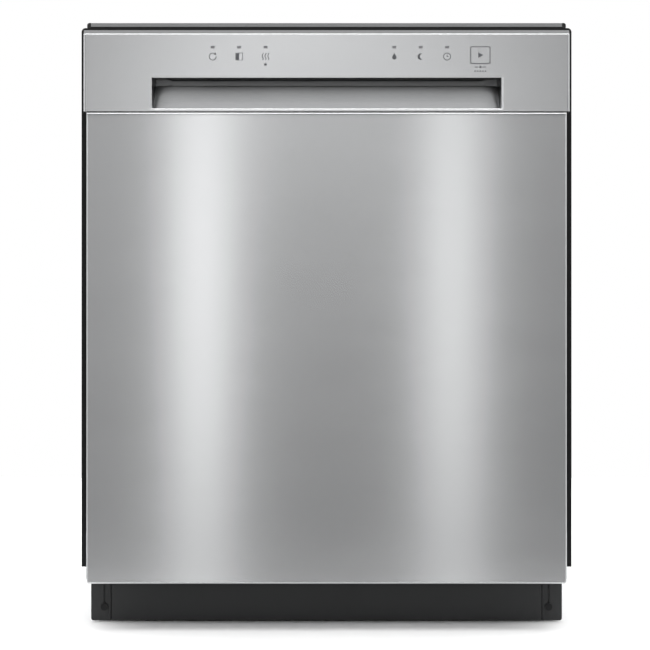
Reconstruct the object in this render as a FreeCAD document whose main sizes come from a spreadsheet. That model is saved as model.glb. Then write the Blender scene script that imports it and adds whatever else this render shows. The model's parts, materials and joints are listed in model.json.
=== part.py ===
import FreeCAD, Part
import Sketcher
import math
import os
import re

# Built-in dishwasher, 24 inch class, in millimetres.
# X runs to the right, Y to the rear, Z up; the door faces -Y and the feet stand on Z = 0.

DIMENSIONS = {
    # Overall size
    "machine_width": 603.0,
    "machine_depth": 620.0,
    # Sheet and moulding thicknesses
    "steel_sheet": 1.2,
    "fascia_wall": 1.5,
    "frame_sheet": 2.0,
    "tub_wall": 3.0,
    "moulded_wall": 2.0,
    # Clearances
    "running_gap": 0.4,
    "pin_gap": 0.05,
    "slot_gap": 0.3,
    # Door skin and control fascia
    "panel_side": 11.5,
    "panel_bottom": 57.0,
    "panel_height": 569.0,
    "panel_return": 20.0,
    "panel_corner": 3.0,
    "panel_bend": 2.0,
    "seam_gap": 1.0,
    "fascia_side": 8.8,
    "fascia_height": 99.7,
    "fascia_proud": 4.0,
    "fascia_depth": 46.0,
    "fascia_bevel": 6.0,
    "fascia_bevel_depth": 3.0,
    "fascia_floor": 23.0,
    # Pocket handle
    "pocket_width": 421.4,
    "pocket_height": 37.6,
    "pocket_lip": 3.0,
    "pocket_scoop": 33.0,
    "pocket_back_gap": 0.8,
    "pocket_corner": 3.0,
    # Indicator lights and start key
    "led_pitch": 31.8,
    "led_group_left": -105.4,
    "led_group_right": 113.4,
    "led_length": 3.9,
    "led_height": 2.3,
    "led_drop": 22.4,
    "start_x": 185.3,
    "start_drop": 32.0,
    "start_width": 24.2,
    "start_height": 21.0,
    "start_corner": 2.2,
    "start_proud": 0.6,
    "start_thick": 3.0,
    # Control board housing
    "board_left": -150.0,
    "board_right": 215.0,
    "board_height": 46.0,
    "board_depth": 16.0,
    # Inner door
    "liner_side": 10.0,
    "liner_drop": 3.0,
    "liner_rim": 22.8,
    "dish_side": 18.0,
    "dish_rise": 5.0,
    "dish_top_margin": 25.2,
    "dish_depth": 29.0,
    "dish_corner": 14.0,
    "insulation_gap": 3.0,
    "insulation_thick": 12.0,
    # Hinge
    "pivot_from_front": 44.0,
    "pivot_height": 85.0,
    "pin_radius": 6.0,
    "arm_thick": 5.0,
    "arm_eye": 13.0,
    "arm_length": 190.0,
    # Latch
    "strike_width": 24.0,
    "strike_thick": 4.0,
    "strike_rise": 2.0,
    "strike_reach": 23.0,
    "latch_width": 16.0,
    "latch_depth": 10.0,
    "latch_length": 14.0,
    "latch_wall": 5.0,
    "latch_travel": 4.0,
    # Dispenser and vent on the inner door
    "dispenser_width": 180.0,
    "dispenser_height": 160.0,
    "dispenser_rise": 274.0,
    "dispenser_flange": 8.0,
    "dispenser_face": 6.0,
    "dispenser_depth": 24.0,
    "cup_width": 88.0,
    "cup_height": 62.0,
    "cup_margin": 12.0,
    "cup_depth": 22.0,
    "lid_thick": 4.0,
    "lid_lap": 4.0,
    "lid_travel": 66.0,
    "cap_radius": 19.0,
    "cap_height": 7.0,
    "cap_x": 52.0,
    "vent_radius": 40.0,
    "vent_thick": 5.0,
    "vent_inset": 97.0,
    "vent_drop": 100.0,
    "vent_slot": 5.0,
    "vent_pitch": 12.0,
    # Tub
    "frame_lap": 9.0,
    "tub_rise": 33.0,
    "frame_top_lap": 19.0,
    "tub_rear_gap": 20.0,
    "tub_corner": 12.0,
    "blanket_thick": 3.0,
    "blanket_gap": 2.0,
    "blanket_drop": 24.0,
    # Front frame and trim
    "frame_setback": 49.0,
    "frame_thick": 9.0,
    "frame_shelf_thick": 4.0,
    "frame_foot_rise": 15.0,
    "frame_leg": 8.0,
    "frame_leg_rise": 32.0,
    "gasket_width": 10.0,
    "gasket_height": 12.0,
    "frame_corner": 5.0,
    "frame_shelf": 62.0,
    "strip_side": 5.5,
    "strip_height": 8.0,
    "strip_depth": 22.0,
    "strip_setback": 60.0,
    "strip_cap": 4.5,
    "strip_round": 3.0,
    "gasket_depth": 6.0,
    "gasket_top_gap": 1.5,
    "bracket_inset": 81.0,
    "bracket_width": 40.0,
    "bracket_depth": 32.0,
    "bracket_hole": 2.6,
    # Base
    "base_side": 8.2,
    "base_bottom": 20.0,
    "base_flange": 30.0,
    "kick_setback": 78.0,
    "kick_bracket_width": 25.6,
    "kick_bottom": 1.5,
    "kick_top_gap": 23.0,
    "kick_gap": 1.3,
    "kick_corner": 3.0,
    "kick_tab": 18.0,
    "ear_rise": 3.0,
    "ear_margin": 3.0,
    "kick_screw_inset": 16.8,
    "kick_screw_z": 18.5,
    "kick_screw_radius": 4.6,
    "kick_slot": 2.4,
    "kick_slot_length": 31.5,
    "kick_fold": 12.0,
    "kick_screw_head": 2.5,
    "pan_rim": 14.0,
    "pan_lap": 6.0,
    "foot_radius": 16.0,
    "foot_height": 8.0,
    "foot_stud": 4.0,
    "foot_stud_length": 24.0,
    "foot_inset": 14.3,
    "foot_front_setback": 112.0,
    "foot_rear_setback": 40.0,
    # Water works under the tub
    "sump_radius": 100.0,
    "sump_depth": 76.0,
    "sump_hole": 75.0,
    "pump_radius": 42.0,
    "pump_length": 140.0,
    "drain_radius": 30.0,
    "drain_length": 86.0,
    "port_radius": 11.0,
    "port_length": 90.0,
    "port_bore": 8.0,
    "pump_drop": 45.0,
    "pump_boss": 22.0,
    "pump_boss_reach": 105.0,
    "volute_length": 40.0,
    "motor_radius": 34.0,
    "valve_inset": 67.3,
    "valve_width": 44.0,
    "valve_depth": 36.0,
    "valve_height": 60.0,
    "valve_setback": 110.0,
    "valve_port": 10.0,
    "valve_port_length": 24.0,
    "junction_inset": 103.3,
    "junction_width": 90.0,
    "junction_depth": 70.0,
    "junction_height": 50.0,
    "knockout": 11.0,
    "cable_hole": 11.0,
    "duct_width": 28.0,
    "duct_depth": 14.0,
    "nozzle_radius": 45.0,
    "nozzle_height": 10.0,
    # Spray arms
    "arm_lift": 27.0,
    "lower_arm_side": 22.0,
    "upper_arm_side": 31.0,
    "spray_width": 46.0,
    "spray_thick": 13.0,
    "spray_hub": 26.0,
    "jet_radius": 2.0,
    "heater_radius": 190.0,
    "heater_tube": 4.0,
    "heater_lift": 4.0,
    "heater_leg_x": 18.0,
    "heater_tail": 14.0,
    "filter_radius": 20.0,
    "filter_offset": 40.0,
    "filter_depth": 46.0,
    "hub_radius": 14.0,
    "hub_pin": 8.0,
    "float_radius": 22.0,
    "float_height": 36.0,
    "float_stem": 4.0,
    "float_tail": 22.0,
    "float_side": 64.0,
    "float_front": 28.4,
    # Racks
    "wire": 4.0,
    "rack_front_gap": 28.0,
    "rack_rear_gap": 32.0,
    "lower_rack_side": 34.0,
    "lower_rack_lift": 49.0,
    "lower_rack_height": 130.0,
    "lower_rack_slope": 27.0,
    "upper_rack_side": 43.0,
    "upper_rack_rise": 250.0,
    "upper_rack_height": 130.0,
    "tine_height": 70.0,
    "wheel_leg": 12.0,
    "wheel_radius": 18.0,
    "wheel_thick": 12.0,
    "wheel_front_inset": 144.4,
    "wheel_rear_inset": 65.0,
    "axle_radius": 4.0,
    "rail_height": 16.0,
    "rail_thick": 8.0,
    "rail_rise": 80.0,
    "roller_radius": 12.0,
    "roller_thick": 10.0,
    "roller_pitch": 24.0,
    "roller_inset": 10.4,
    "basket_length": 300.0,
    "basket_depth": 66.0,
    "basket_height": 112.0,
    "basket_slot_margin": 18.0,
    "basket_slot_width": 4.0,
    "basket_handle": 22.0,
}

# How many of each there are
COUNTS = {
    "tine_count": 9,
    "cross_wires": 8,
    "long_wires": 8,
    "basket_cells": 6,
    "basket_slots": 5,
}

# Planes and edges worked out from the driving dimensions
PLACES = {
    "front_y": "start_proud - machine_depth / 2",
    "rear_y": "machine_depth / 2",
    "panel_width": "machine_width - 2 * panel_side",
    "fascia_width": "machine_width - 2 * fascia_side",
    "strip_width": "machine_width - 2 * strip_side",
    "base_width": "machine_width - 2 * base_side",
    "liner_width": "panel_width - 2 * liner_side",
    "dish_width": "liner_width - 2 * dish_side",
    "frame_opening": "dish_width + 2 * gasket_width",
    "tub_width": "frame_opening + 2 * frame_lap",
    "kick_panel_width": "base_width - 2 * kick_bracket_width",
    "lower_rack_width": "tub_width - 2 * tub_wall - 2 * lower_rack_side",
    "upper_rack_width": "tub_width - 2 * tub_wall - 2 * upper_rack_side",
    "lower_arm_reach": "lower_rack_width / 2 - lower_arm_side",
    "upper_arm_reach": "upper_rack_width / 2 - upper_arm_side",
    "foot_x": "base_width / 2 - foot_inset",
    "kick_screw_x": "base_width / 2 - kick_screw_inset",
    "bracket_x": "tub_width / 2 - bracket_inset",
    "float_x": "float_side + tub_wall - tub_width / 2",
    "vent_x": "dish_width / 2 - vent_inset",
    "panel_y": "front_y + fascia_proud",
    "panel_top": "panel_bottom + panel_height",
    "fascia_bottom": "panel_top + seam_gap",
    "fascia_top": "fascia_bottom + fascia_height",
    "fascia_back": "front_y + fascia_depth",
    "fascia_inside": "front_y + fascia_wall",
    "pivot_y": "front_y + pivot_from_front",
    "liner_y": "fascia_back + frame_sheet",
    "liner_front": "liner_y - liner_rim - steel_sheet",
    "liner_inside": "liner_y - steel_sheet",
    "liner_top": "fascia_top - fascia_wall",
    "liner_bottom": "panel_bottom + liner_drop",
    "dish_top": "liner_top - dish_top_margin",
    "frame_opening_top": "dish_top + gasket_height",
    "strike_height": "frame_opening_top + strike_rise",
    "tub_top": "frame_opening_top + frame_top_lap",
    "frame_top": "tub_top + frame_shelf_thick",
    "frame_foot": "panel_bottom + frame_foot_rise",
    "vent_z": "dish_top - vent_drop",
    "dish_y": "liner_y + dish_depth",
    "frame_y": "front_y + frame_setback",
    "tub_y": "frame_y + frame_thick",
    "tub_rear": "rear_y - tub_rear_gap",
    "tub_bottom": "pivot_height + tub_rise",
    "floor_z": "tub_bottom + tub_wall",
    "dish_bottom": "floor_z + dish_rise",
    "dispenser_centre": "dish_bottom + dispenser_rise",
    "frame_leg_top": "tub_bottom + frame_leg_rise",
    "kick_top": "tub_bottom - kick_top_gap",
    "ear_bottom": "panel_bottom + ear_rise",
    "kick_slot_top": "kick_screw_z + kick_slot_length",
    "foot_stud_top": "base_bottom + foot_stud_length",
    "lower_rack_floor": "floor_z + lower_rack_lift",
    "upper_rack_floor": "lower_rack_floor + upper_rack_rise",
    "rail_z": "upper_rack_floor + rail_rise",
    "kick_y": "front_y + kick_setback",
    "base_y": "kick_y + frame_sheet + steel_sheet",
    "pan_z": "base_bottom + frame_sheet",
    "led_z": "fascia_top - led_drop",
    "start_z": "fascia_top - start_drop",
    "pocket_bottom": "fascia_bottom + pocket_lip",
    "pocket_top": "pocket_bottom + pocket_height",
    "pocket_back": "liner_inside - pocket_back_gap",
    "board_bottom": "pocket_top + moulded_wall",
    "board_y": "fascia_inside + start_thick",
    "hinge_x": "liner_width / 2",
    "web_x": "base_width / 2 - frame_sheet",
    "arm_z": "floor_z + arm_lift",
    "lower_front": "dish_y + rack_front_gap",
    "rack_rear": "tub_rear - tub_wall - rack_rear_gap",
    "wash_centre_y": "(lower_front + rack_rear) / 2",
    "float_y": "dish_y + float_front",
    "wheel_front_y": "lower_front + wheel_front_inset",
    "wheel_rear_y": "rack_rear - wheel_rear_inset",
    "roller_front_y": "lower_front + roller_inset",
    "wheel_x": "lower_rack_width / 2 + wire + slot_gap",
    "wheel_z": "floor_z + slot_gap + wheel_radius",
    "rail_x": "upper_rack_width / 2 + wire",
    "dispenser_y": "dish_y + dispenser_face",
    "heater_leg_y": "wash_centre_y - sqrt(heater_radius ^ 2 - heater_leg_x ^ 2)",
    "strip_y": "front_y + strip_setback",
    "strip_back": "strip_y + strip_depth",
    "bracket_y": "strip_back + bracket_depth / 2",
    "foot_front_y": "front_y + foot_front_setback",
    "foot_rear_y": "rear_y - foot_rear_setback",
    "bowl_foot": "0.8 * sump_hole",
    "pump_z": "tub_bottom - pump_drop",
    "drain_reach": "drain_radius + 4 * moulded_wall",
    "pan_floor": "pan_z + steel_sheet",
    "valve_x": "valve_inset - base_width / 2",
    "valve_y": "front_y + valve_setback",
    "junction_x": "base_width / 2 - junction_inset",
    "window_z": "(base_bottom + tub_bottom) / 2",
    "long_wire_top": "lower_rack_floor + 1.5 * wire",
}

doc = FreeCAD.newDocument("Dishwasher")
sheet = doc.addObject("Spreadsheet::Sheet", "Sheet")
DRIVERS = {**DIMENSIONS, **COUNTS}
for row, (driver, amount) in enumerate(DRIVERS.items(), start=1):
    sheet.set(f"A{row}", str(amount))
    sheet.setAlias(f"A{row}", driver)
doc.recompute()

places = doc.addObject("App::FeaturePython", "Places")
NODES = {}
ALONG_X = FreeCAD.Vector(1, 0, 0)
ALONG_Y = FreeCAD.Vector(0, 1, 0)
UP = FreeCAD.Vector(0, 0, 1)


def qualify(formula):
    """Put the owning object in front of every named value in a formula."""
    def owned(word):
        name = word.group()
        if name in DRIVERS:
            return "Sheet." + name
        return "Places." + name if name in PLACES else name
    return re.sub(r"[a-z_]+", owned, str(formula))


for place, place_formula in PLACES.items():
    places.addProperty("App::PropertyFloat", place)
    places.setExpression(place, qualify(place_formula))
doc.recompute()


def at(name):
    """Number behind a named dimension or place."""
    return getattr(sheet if name in DRIVERS else places, name)


def bind(thing, **formulas):
    """Tie properties to formulas; a double underscore stands for a dot in the property's path."""
    for name, formula in formulas.items():
        thing.setExpression(name.replace("__", "."), qualify(formula))


def put(thing, x="0", y="0", z="0"):
    """Tie an object's position to three formulas."""
    bind(thing, Placement__Base__x=x, Placement__Base__y=y, Placement__Base__z=z)
    return thing


def keep(name, thing):
    """Register a finished sub-part under its own label."""
    thing.Label = name
    NODES[name] = thing
    return thing


def side(sign, near, far):
    """Low and high formula of a span that lies to the right (+1) or is mirrored to the left (-1)."""
    return (near, far) if sign > 0 else (f"-({far})", f"-({near})")


def centred(width):
    """Low and high formula of a span centred on zero."""
    return f"-({width}) / 2", f"({width}) / 2"


def either_side(make):
    """Make a piece for the right (+1) and the left (-1) side."""
    return [make(sign) for sign in (1, -1)]


# Solids from primitives

TURNS = {
    "x": FreeCAD.Rotation(FreeCAD.Vector(0, 1, 0), 90),
    "y": FreeCAD.Rotation(FreeCAD.Vector(1, 0, 0), -90),
    "z": FreeCAD.Rotation(),
}


def box(name, x, y, z):
    """Block between a low and a high formula on each axis."""
    solid = doc.addObject("Part::Box", name)
    for axis, extent, (low, high) in zip("xyz", ("Length", "Width", "Height"), (x, y, z)):
        bind(solid, **{extent: f"({high}) - ({low})", f"Placement__Base__{axis}": low})
    return solid


def rod(name, axis, start, radius, length):
    """Cylinder that starts at a point and runs along an axis."""
    solid = doc.addObject("Part::Cylinder", name)
    solid.Placement = FreeCAD.Placement(FreeCAD.Vector(), TURNS[axis])
    bind(solid, Radius=radius, Height=length)
    return put(solid, *start)


def fuse(name, *pieces):
    """One solid from pieces that touch."""
    joined = doc.addObject("Part::MultiFuse", name)
    joined.Shapes = list(pieces)
    joined.Refine = True
    return joined


def group(name, *pieces):
    """Several like solids that share one sub-part."""
    bundle = doc.addObject("Part::Compound", name)
    bundle.Links = list(pieces)
    return bundle


def cut(name, base, *tools):
    """A solid less one or more others."""
    remainder = doc.addObject("Part::Cut", name)
    remainder.Base = base
    remainder.Tool = tools[0] if len(tools) == 1 else group(name + "_tools", *tools)
    remainder.Refine = True
    return remainder


# Bodies drawn in sketches

class Round:
    """Circle in a sketch, by the formulas of its centre and radius."""

    def __init__(self, u, v, radius):
        self.u, self.v, self.radius = u, v, radius


def rect(u, v):
    """Corners of a rectangle between a low and a high formula each way."""
    return [(u[0], v[0]), (u[1], v[0]), (u[1], v[1]), (u[0], v[1])]


def new_body(name):
    """Empty body, registered as a sub-part."""
    return keep(name, doc.addObject("PartDesign::Body", name))


def hold(sketch, kind, geometry, point, formula):
    """Fix one coordinate of a sketch point, or a radius, by a formula."""
    start = 1.0
    if kind == "Radius":
        index = sketch.addConstraint(Sketcher.Constraint(kind, geometry, start))
    else:
        index = sketch.addConstraint(Sketcher.Constraint(kind, -1, 1, geometry, point, start))
    sketch.setExpression(f"Constraints[{index}]", qualify(formula))


def draw_circle(sketch, circle):
    """Add a fully held circle."""
    index = sketch.addGeometry(Part.Circle(FreeCAD.Vector(), FreeCAD.Vector(0, 0, 1), 1), False)
    hold(sketch, "DistanceX", index, 3, circle.u)
    hold(sketch, "DistanceY", index, 3, circle.v)
    hold(sketch, "Radius", index, 0, circle.radius)


def draw_corners(sketch, corners):
    """Add a closed run of straight lines through fully held corners."""
    count = len(corners)
    turn = 2 * math.pi / count
    ring = [FreeCAD.Vector(math.cos(turn * i), math.sin(turn * i), 0) for i in range(count)]
    lines = [sketch.addGeometry(Part.LineSegment(ring[i], ring[(i + 1) % count]), False)
             for i in range(count)]
    for i, line in enumerate(lines):
        sketch.addConstraint(Sketcher.Constraint("Coincident", line, 2, lines[(i + 1) % count], 1))
    for line, (u, v) in zip(lines, corners):
        hold(sketch, "DistanceX", line, 1, u)
        hold(sketch, "DistanceY", line, 1, v)


def draw(body, plane, loops, level):
    """Sketch of one or more closed loops on an origin plane, moved along the plane's normal."""
    sketch = body.newObject("Sketcher::SketchObject", body.Name + "_sketch")
    origin_plane = next(found for found in body.Origin.OriginFeatures if found.Role == plane)
    sketch.AttachmentSupport = [(origin_plane, "")]
    sketch.MapMode = "FlatFace"
    bind(sketch, AttachmentOffset__Base__z=level)
    for loop in loops:
        if isinstance(loop, Round):
            draw_circle(sketch, loop)
        else:
            draw_corners(sketch, loop)
    return sketch


def pad(body, plane, loops, low, high):
    """Add material between two levels of the axis across the plane."""
    facing_front = plane == "XZ_Plane"
    feature = body.newObject("PartDesign::Pad", body.Name + "_pad")
    feature.Profile = draw(body, plane, loops, f"-({high})" if facing_front else low)
    bind(feature, Length=f"({high}) - ({low})")
    doc.recompute()
    return feature


def pocket(body, plane, loops, low, high):
    """Take material away between two levels of the axis across the plane."""
    facing_front = plane == "XZ_Plane"
    before = body.Shape.Volume
    feature = body.newObject("PartDesign::Pocket", body.Name + "_pocket")
    feature.Profile = draw(body, plane, loops, f"-({low})" if facing_front else high)
    bind(feature, Length=f"({high}) - ({low})")
    doc.recompute()
    if not body.Shape.Volume < before:
        raise RuntimeError(f"{feature.Name} removes nothing")
    return feature


def turned(body, corners):
    """Solid of revolution about Z from half a section in the XZ plane."""
    sketch = draw(body, "XZ_Plane", [corners], "0")
    feature = body.newObject("PartDesign::Revolution", body.Name + "_turned")
    feature.Profile = sketch
    feature.ReferenceAxis = (sketch, ["V_Axis"])
    feature.Angle = 360.0
    doc.recompute()
    return feature


def runs(edge, axis):
    """Whether a straight edge runs along an axis."""
    extent = edge.BoundBox
    length = {"x": extent.XLength, "y": extent.YLength, "z": extent.ZLength}
    return length[axis] > 0.01 and abs(edge.Length - length[axis]) < 0.001


def meets(number, *wanted):
    """Whether a coordinate is one of some values."""
    return any(abs(number - value) < 0.01 for value in wanted)


def round_off(body, radius, wanted):
    """Round the edges of the body so far that a test picks."""
    tip = body.Tip
    picked = [f"Edge{i}" for i, edge in enumerate(tip.Shape.Edges, start=1) if wanted(edge)]
    fillet = body.newObject("PartDesign::Fillet", body.Name + "_rounding")
    fillet.Base = (tip, picked)
    bind(fillet, Radius=radius)
    doc.recompute()
    return fillet


# Door

def door_panel():
    """Front skin: a shallow folded tray, open to the rear."""
    body = new_body("door_panel")
    skin = rect(centred("panel_width"), ("panel_bottom", "panel_top"))
    pad(body, "XZ_Plane", [skin], "panel_y", "panel_y + panel_return")
    round_off(body, "panel_corner", lambda e: runs(e, "y") and meets(e.BoundBox.ZMin, at("panel_bottom")))
    round_off(body, "panel_bend", lambda e: runs(e, "z") and meets(e.BoundBox.YMin, at("panel_y")))
    hollow = rect(centred("panel_width - 2 * steel_sheet"),
                  ("panel_bottom + steel_sheet", "panel_top - steel_sheet"))
    pocket(body, "XZ_Plane", [hollow], "panel_y + steel_sheet", "panel_y + panel_return")


def led_centres():
    """Centres of the indicator lights: two groups of three."""
    return [f"{middle} + {step} * led_pitch"
            for middle in ("led_group_left", "led_group_right") for step in (-1, 0, 1)]


def around(centre, width):
    """Low and high formula of a span about a centre."""
    return f"{centre} - ({width}) / 2", f"{centre} + ({width}) / 2"


def control_fascia():
    """Control panel: a hollow rail with a bevelled top edge, open to the rear."""
    body = new_body("control_fascia")
    section = [
        ("front_y", "fascia_bottom"),
        ("fascia_back", "fascia_bottom"),
        ("fascia_back", "fascia_top"),
        ("front_y + fascia_bevel_depth", "fascia_top"),
        ("front_y", "fascia_top - fascia_bevel"),
    ]
    hollow = [
        ("fascia_inside", "fascia_bottom + fascia_wall"),
        ("fascia_back", "fascia_bottom + fascia_wall"),
        ("fascia_back", "fascia_top - fascia_wall"),
        ("fascia_inside + fascia_bevel_depth", "fascia_top - fascia_wall"),
        ("fascia_inside", "fascia_top - fascia_bevel"),
    ]
    pad(body, "YZ_Plane", [section], *centred("fascia_width"))
    round_off(body, "panel_bend", lambda e: runs(e, "z") and meets(e.BoundBox.YMin, at("front_y")))
    inner = centred("fascia_width - 2 * fascia_wall")
    pocket(body, "YZ_Plane", [hollow], *inner)
    behind_floor = rect(inner, ("front_y + fascia_floor", "fascia_back"))
    pocket(body, "XY_Plane", [behind_floor], "fascia_bottom", "fascia_bottom + fascia_wall")
    opening = rect(centred("pocket_width"), ("pocket_bottom", "pocket_top"))
    pocket(body, "XZ_Plane", [opening], "front_y", "fascia_inside")
    round_off(body, "pocket_corner", lambda e: runs(e, "y") and meets(e.BoundBox.ZMin, at("pocket_bottom")))
    light_height = around("led_z", "led_height + 2 * slot_gap")
    slots = [rect(around(centre, "led_length + 2 * slot_gap"), light_height) for centre in led_centres()]
    key = rect(around("start_x", "start_width + 2 * slot_gap"),
               around("start_z", "start_height + 2 * slot_gap"))
    pocket(body, "XZ_Plane", slots + [key], "front_y", "fascia_inside")
    near_key = lambda e: meets(e.BoundBox.XMin - at("start_x"), key_half, -key_half)
    key_half = at("start_width") / 2 + at("slot_gap")
    round_off(body, "start_corner", lambda e: runs(e, "y") and near_key(e))


def handle_pocket():
    """Pull recess: its floor sweeps up into the back wall in one large arc."""
    body = new_body("handle_pocket")
    back = "pocket_back - moulded_wall"
    outside = rect(centred("pocket_width + 2 * moulded_wall"),
                   ("fascia_bottom + fascia_wall", "pocket_top + moulded_wall"))
    pad(body, "XZ_Plane", [outside], "fascia_inside", "pocket_back")
    scoop = rect(centred("pocket_width"), ("pocket_bottom", "pocket_top"))
    pocket(body, "XZ_Plane", [scoop], "fascia_inside", back)
    round_off(body, "pocket_scoop", lambda e: runs(e, "x") and meets(e.BoundBox.ZMin, at("pocket_bottom"))
              and e.BoundBox.YMin > at("fascia_inside") + 1)
    round_off(body, "pocket_scoop", lambda e: runs(e, "x") and meets(e.BoundBox.YMin, at("pocket_back"))
              and e.BoundBox.ZMin < at("pocket_bottom"))


def door_insulation():
    """Sound pad between the front skin and the inner door."""
    across = centred("liner_width - 2 * steel_sheet - 2 * insulation_gap")
    along = ("panel_y + steel_sheet", "panel_y + steel_sheet + insulation_thick")
    up = ("liner_bottom + steel_sheet + insulation_gap", "panel_top - steel_sheet - insulation_gap")
    keep("door_insulation", box("door_insulation", across, along, up))


def door_liner():
    """Inner door: a pressed tray with a dish that reaches into the tub opening."""
    body = new_body("door_liner")
    sheet_outline = rect(centred("liner_width"), ("liner_bottom", "liner_top"))
    pad(body, "XZ_Plane", [sheet_outline], "liner_front", "liner_y")
    pad(body, "XZ_Plane", [rect(centred("dish_width"), ("dish_bottom", "dish_top"))], "liner_y", "dish_y")
    tray = rect(centred("liner_width - 2 * steel_sheet"),
                ("liner_bottom + steel_sheet", "liner_top - steel_sheet"))
    dish = rect(centred("dish_width - 2 * steel_sheet"),
                ("dish_bottom + steel_sheet", "dish_top - steel_sheet"))
    pocket(body, "XZ_Plane", [tray], "liner_front", "liner_inside")
    pocket(body, "XZ_Plane", [dish], "liner_inside", "dish_y - steel_sheet")
    inner_x = at("dish_width") / 2 - at("steel_sheet")
    outer_x = at("dish_width") / 2
    round_off(body, "dish_corner - steel_sheet",
              lambda e: runs(e, "y") and meets(abs(e.BoundBox.XMin), inner_x))
    round_off(body, "dish_corner", lambda e: runs(e, "y") and meets(abs(e.BoundBox.XMin), outer_x))
    strike_slot = rect(centred("strike_width + 2 * latch_wall"),
                       ("strike_height - latch_wall", "liner_top - steel_sheet"))
    pocket(body, "XZ_Plane", [strike_slot], "liner_inside", "liner_y")
    cup_hole = rect(centred("dispenser_width - 2 * dispenser_flange"),
                    around("dispenser_centre", "dispenser_height - 2 * dispenser_flange"))
    vent_hole = Round("vent_x", "vent_z", "vent_radius - dispenser_flange")
    pocket(body, "XZ_Plane", [cup_hole, vent_hole], "dish_y - steel_sheet", "dish_y")


def hinge_arm(sign):
    """Strap on the side of the inner door, with the eye that turns on the hinge pin."""
    across = side(sign, "hinge_x", "hinge_x + arm_thick")
    strap = box("arm_strap", across, ("liner_front", "liner_inside"),
                ("pivot_height", "pivot_height + arm_length"))
    eye = rod("arm_eye", "x", (across[0], "pivot_y", "pivot_height"), "arm_eye", "arm_thick")
    bore = rod("arm_bore", "x", (across[0], "pivot_y", "pivot_height"), "pin_radius + pin_gap", "arm_thick")
    return cut("arm", fuse("arm_blank", strap, eye), bore)


def control_parts():
    """Board housing, light bars and the start key."""
    housing = box("control_board_housing", ("board_left", "board_right"),
                  ("board_y", "board_y + board_depth"),
                  ("board_bottom", "board_bottom + board_height"))
    keep("control_board_housing", housing)
    lights = [box("light_bar", around(centre, "led_length"), ("front_y", "board_y"),
                  around("led_z", "led_height"))
              for centre in led_centres()]
    keep("indicator_leds", group("indicator_leds", *lights))
    key = new_body("start_button")
    face = rect(around("start_x", "start_width"), around("start_z", "start_height"))
    pad(key, "XZ_Plane", [face], "front_y - start_proud", "front_y - start_proud + start_thick")
    round_off(key, "start_corner", lambda e: runs(e, "y"))


def latch():
    """Spring catch at the top of the door, in its guide."""
    low = "strike_height - running_gap - latch_length"
    guide_bottom = f"{low} - latch_travel - latch_wall"
    depth = ("liner_inside - latch_depth - 2 * latch_wall", "liner_inside")
    guide = box("latch_guide", centred("latch_width + 2 * latch_wall"), depth,
                (guide_bottom, "strike_height - latch_wall / 2"))
    catch_y = around("liner_inside - latch_wall - latch_depth / 2", "latch_depth")
    slot_y = around("liner_inside - latch_wall - latch_depth / 2", "latch_depth + 2 * slot_gap")
    slot = box("latch_slot", centred("latch_width + 2 * slot_gap"), slot_y,
               (f"{low} - latch_travel", "strike_height"))
    keep("latch_housing", cut("latch_housing", guide, slot))
    catch = new_body("door_latch")
    pad(catch, "XZ_Plane", [rect(centred("latch_width"), (low, "strike_height - running_gap"))], *catch_y)
    round_off(catch, "latch_depth / 3", lambda e: runs(e, "x")
              and meets(e.BoundBox.ZMin, at("strike_height") - at("running_gap")))


def dispenser():
    """Detergent cup with a sliding lid, and the rinse-aid cap beside it."""
    body = new_body("dispenser_body")
    half = "dispenser_height / 2"
    face = rect(centred("dispenser_width"), around("dispenser_centre", "dispenser_height"))
    pad(body, "XZ_Plane", [face], "dish_y", "dispenser_y")
    well_width = "dispenser_width - 2 * dispenser_flange - 2 * slot_gap"
    well_height = "dispenser_height - 2 * dispenser_flange - 2 * slot_gap"
    well = rect(centred(well_width), around("dispenser_centre", well_height))
    pad(body, "XZ_Plane", [well], "dish_y - dispenser_depth", "dish_y")
    cup_x = ("-dispenser_width / 2 + cup_margin", "-dispenser_width / 2 + cup_margin + cup_width")
    cup_z = (f"dispenser_centre + {half} - cup_margin - cup_height",
             f"dispenser_centre + {half} - cup_margin")
    pocket(body, "XZ_Plane", [rect(cup_x, cup_z)], "dispenser_y - cup_depth", "dispenser_y")
    lid_x = (f"{cup_x[0]} - lid_lap", f"{cup_x[1]} + lid_lap")
    lid_z = (f"{cup_z[0]} - lid_lap", f"{cup_z[1]} + lid_lap")
    guide_z = (f"{lid_z[0]} - lid_travel - lid_lap", lid_z[1])
    guides = [rect((f"{lid_x[0]} - slot_gap - lid_lap", f"{lid_x[0]} - slot_gap"), guide_z),
              rect((f"{lid_x[1]} + slot_gap", f"{lid_x[1]} + slot_gap + lid_lap"), guide_z)]
    pad(body, "XZ_Plane", guides, "dispenser_y", "dispenser_y + slot_gap + lid_thick")
    lid = new_body("dispenser_lid")
    pad(lid, "XZ_Plane", [rect(lid_x, lid_z)], "dispenser_y + slot_gap", "dispenser_y + slot_gap + lid_thick")
    cap_z = "dispenser_centre + cap_radius"
    disc = rod("cap_disc", "y", ("cap_x", "dispenser_y + slot_gap", cap_z), "cap_radius", "cap_height / 2")
    grip = box("cap_grip", around("cap_x", "1.6 * cap_radius"),
               ("dispenser_y + slot_gap + cap_height / 2", "dispenser_y + slot_gap + cap_height"),
               around(cap_z, "cap_radius / 3"))
    keep("rinse_cap", fuse("rinse_cap", disc, grip))


def door_vent():
    """Slotted vent cover on the inner door."""
    body = new_body("door_vent")
    pad(body, "XZ_Plane", [Round("vent_x", "vent_z", "vent_radius")], "dish_y", "dish_y + vent_thick")
    slots = [rect(around(f"vent_x + {step} * vent_pitch", "vent_slot"), around("vent_z", "vent_radius"))
             for step in (-2, -1, 0, 1, 2)]
    pocket(body, "XZ_Plane", slots, "dish_y", "dish_y + vent_thick")


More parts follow.
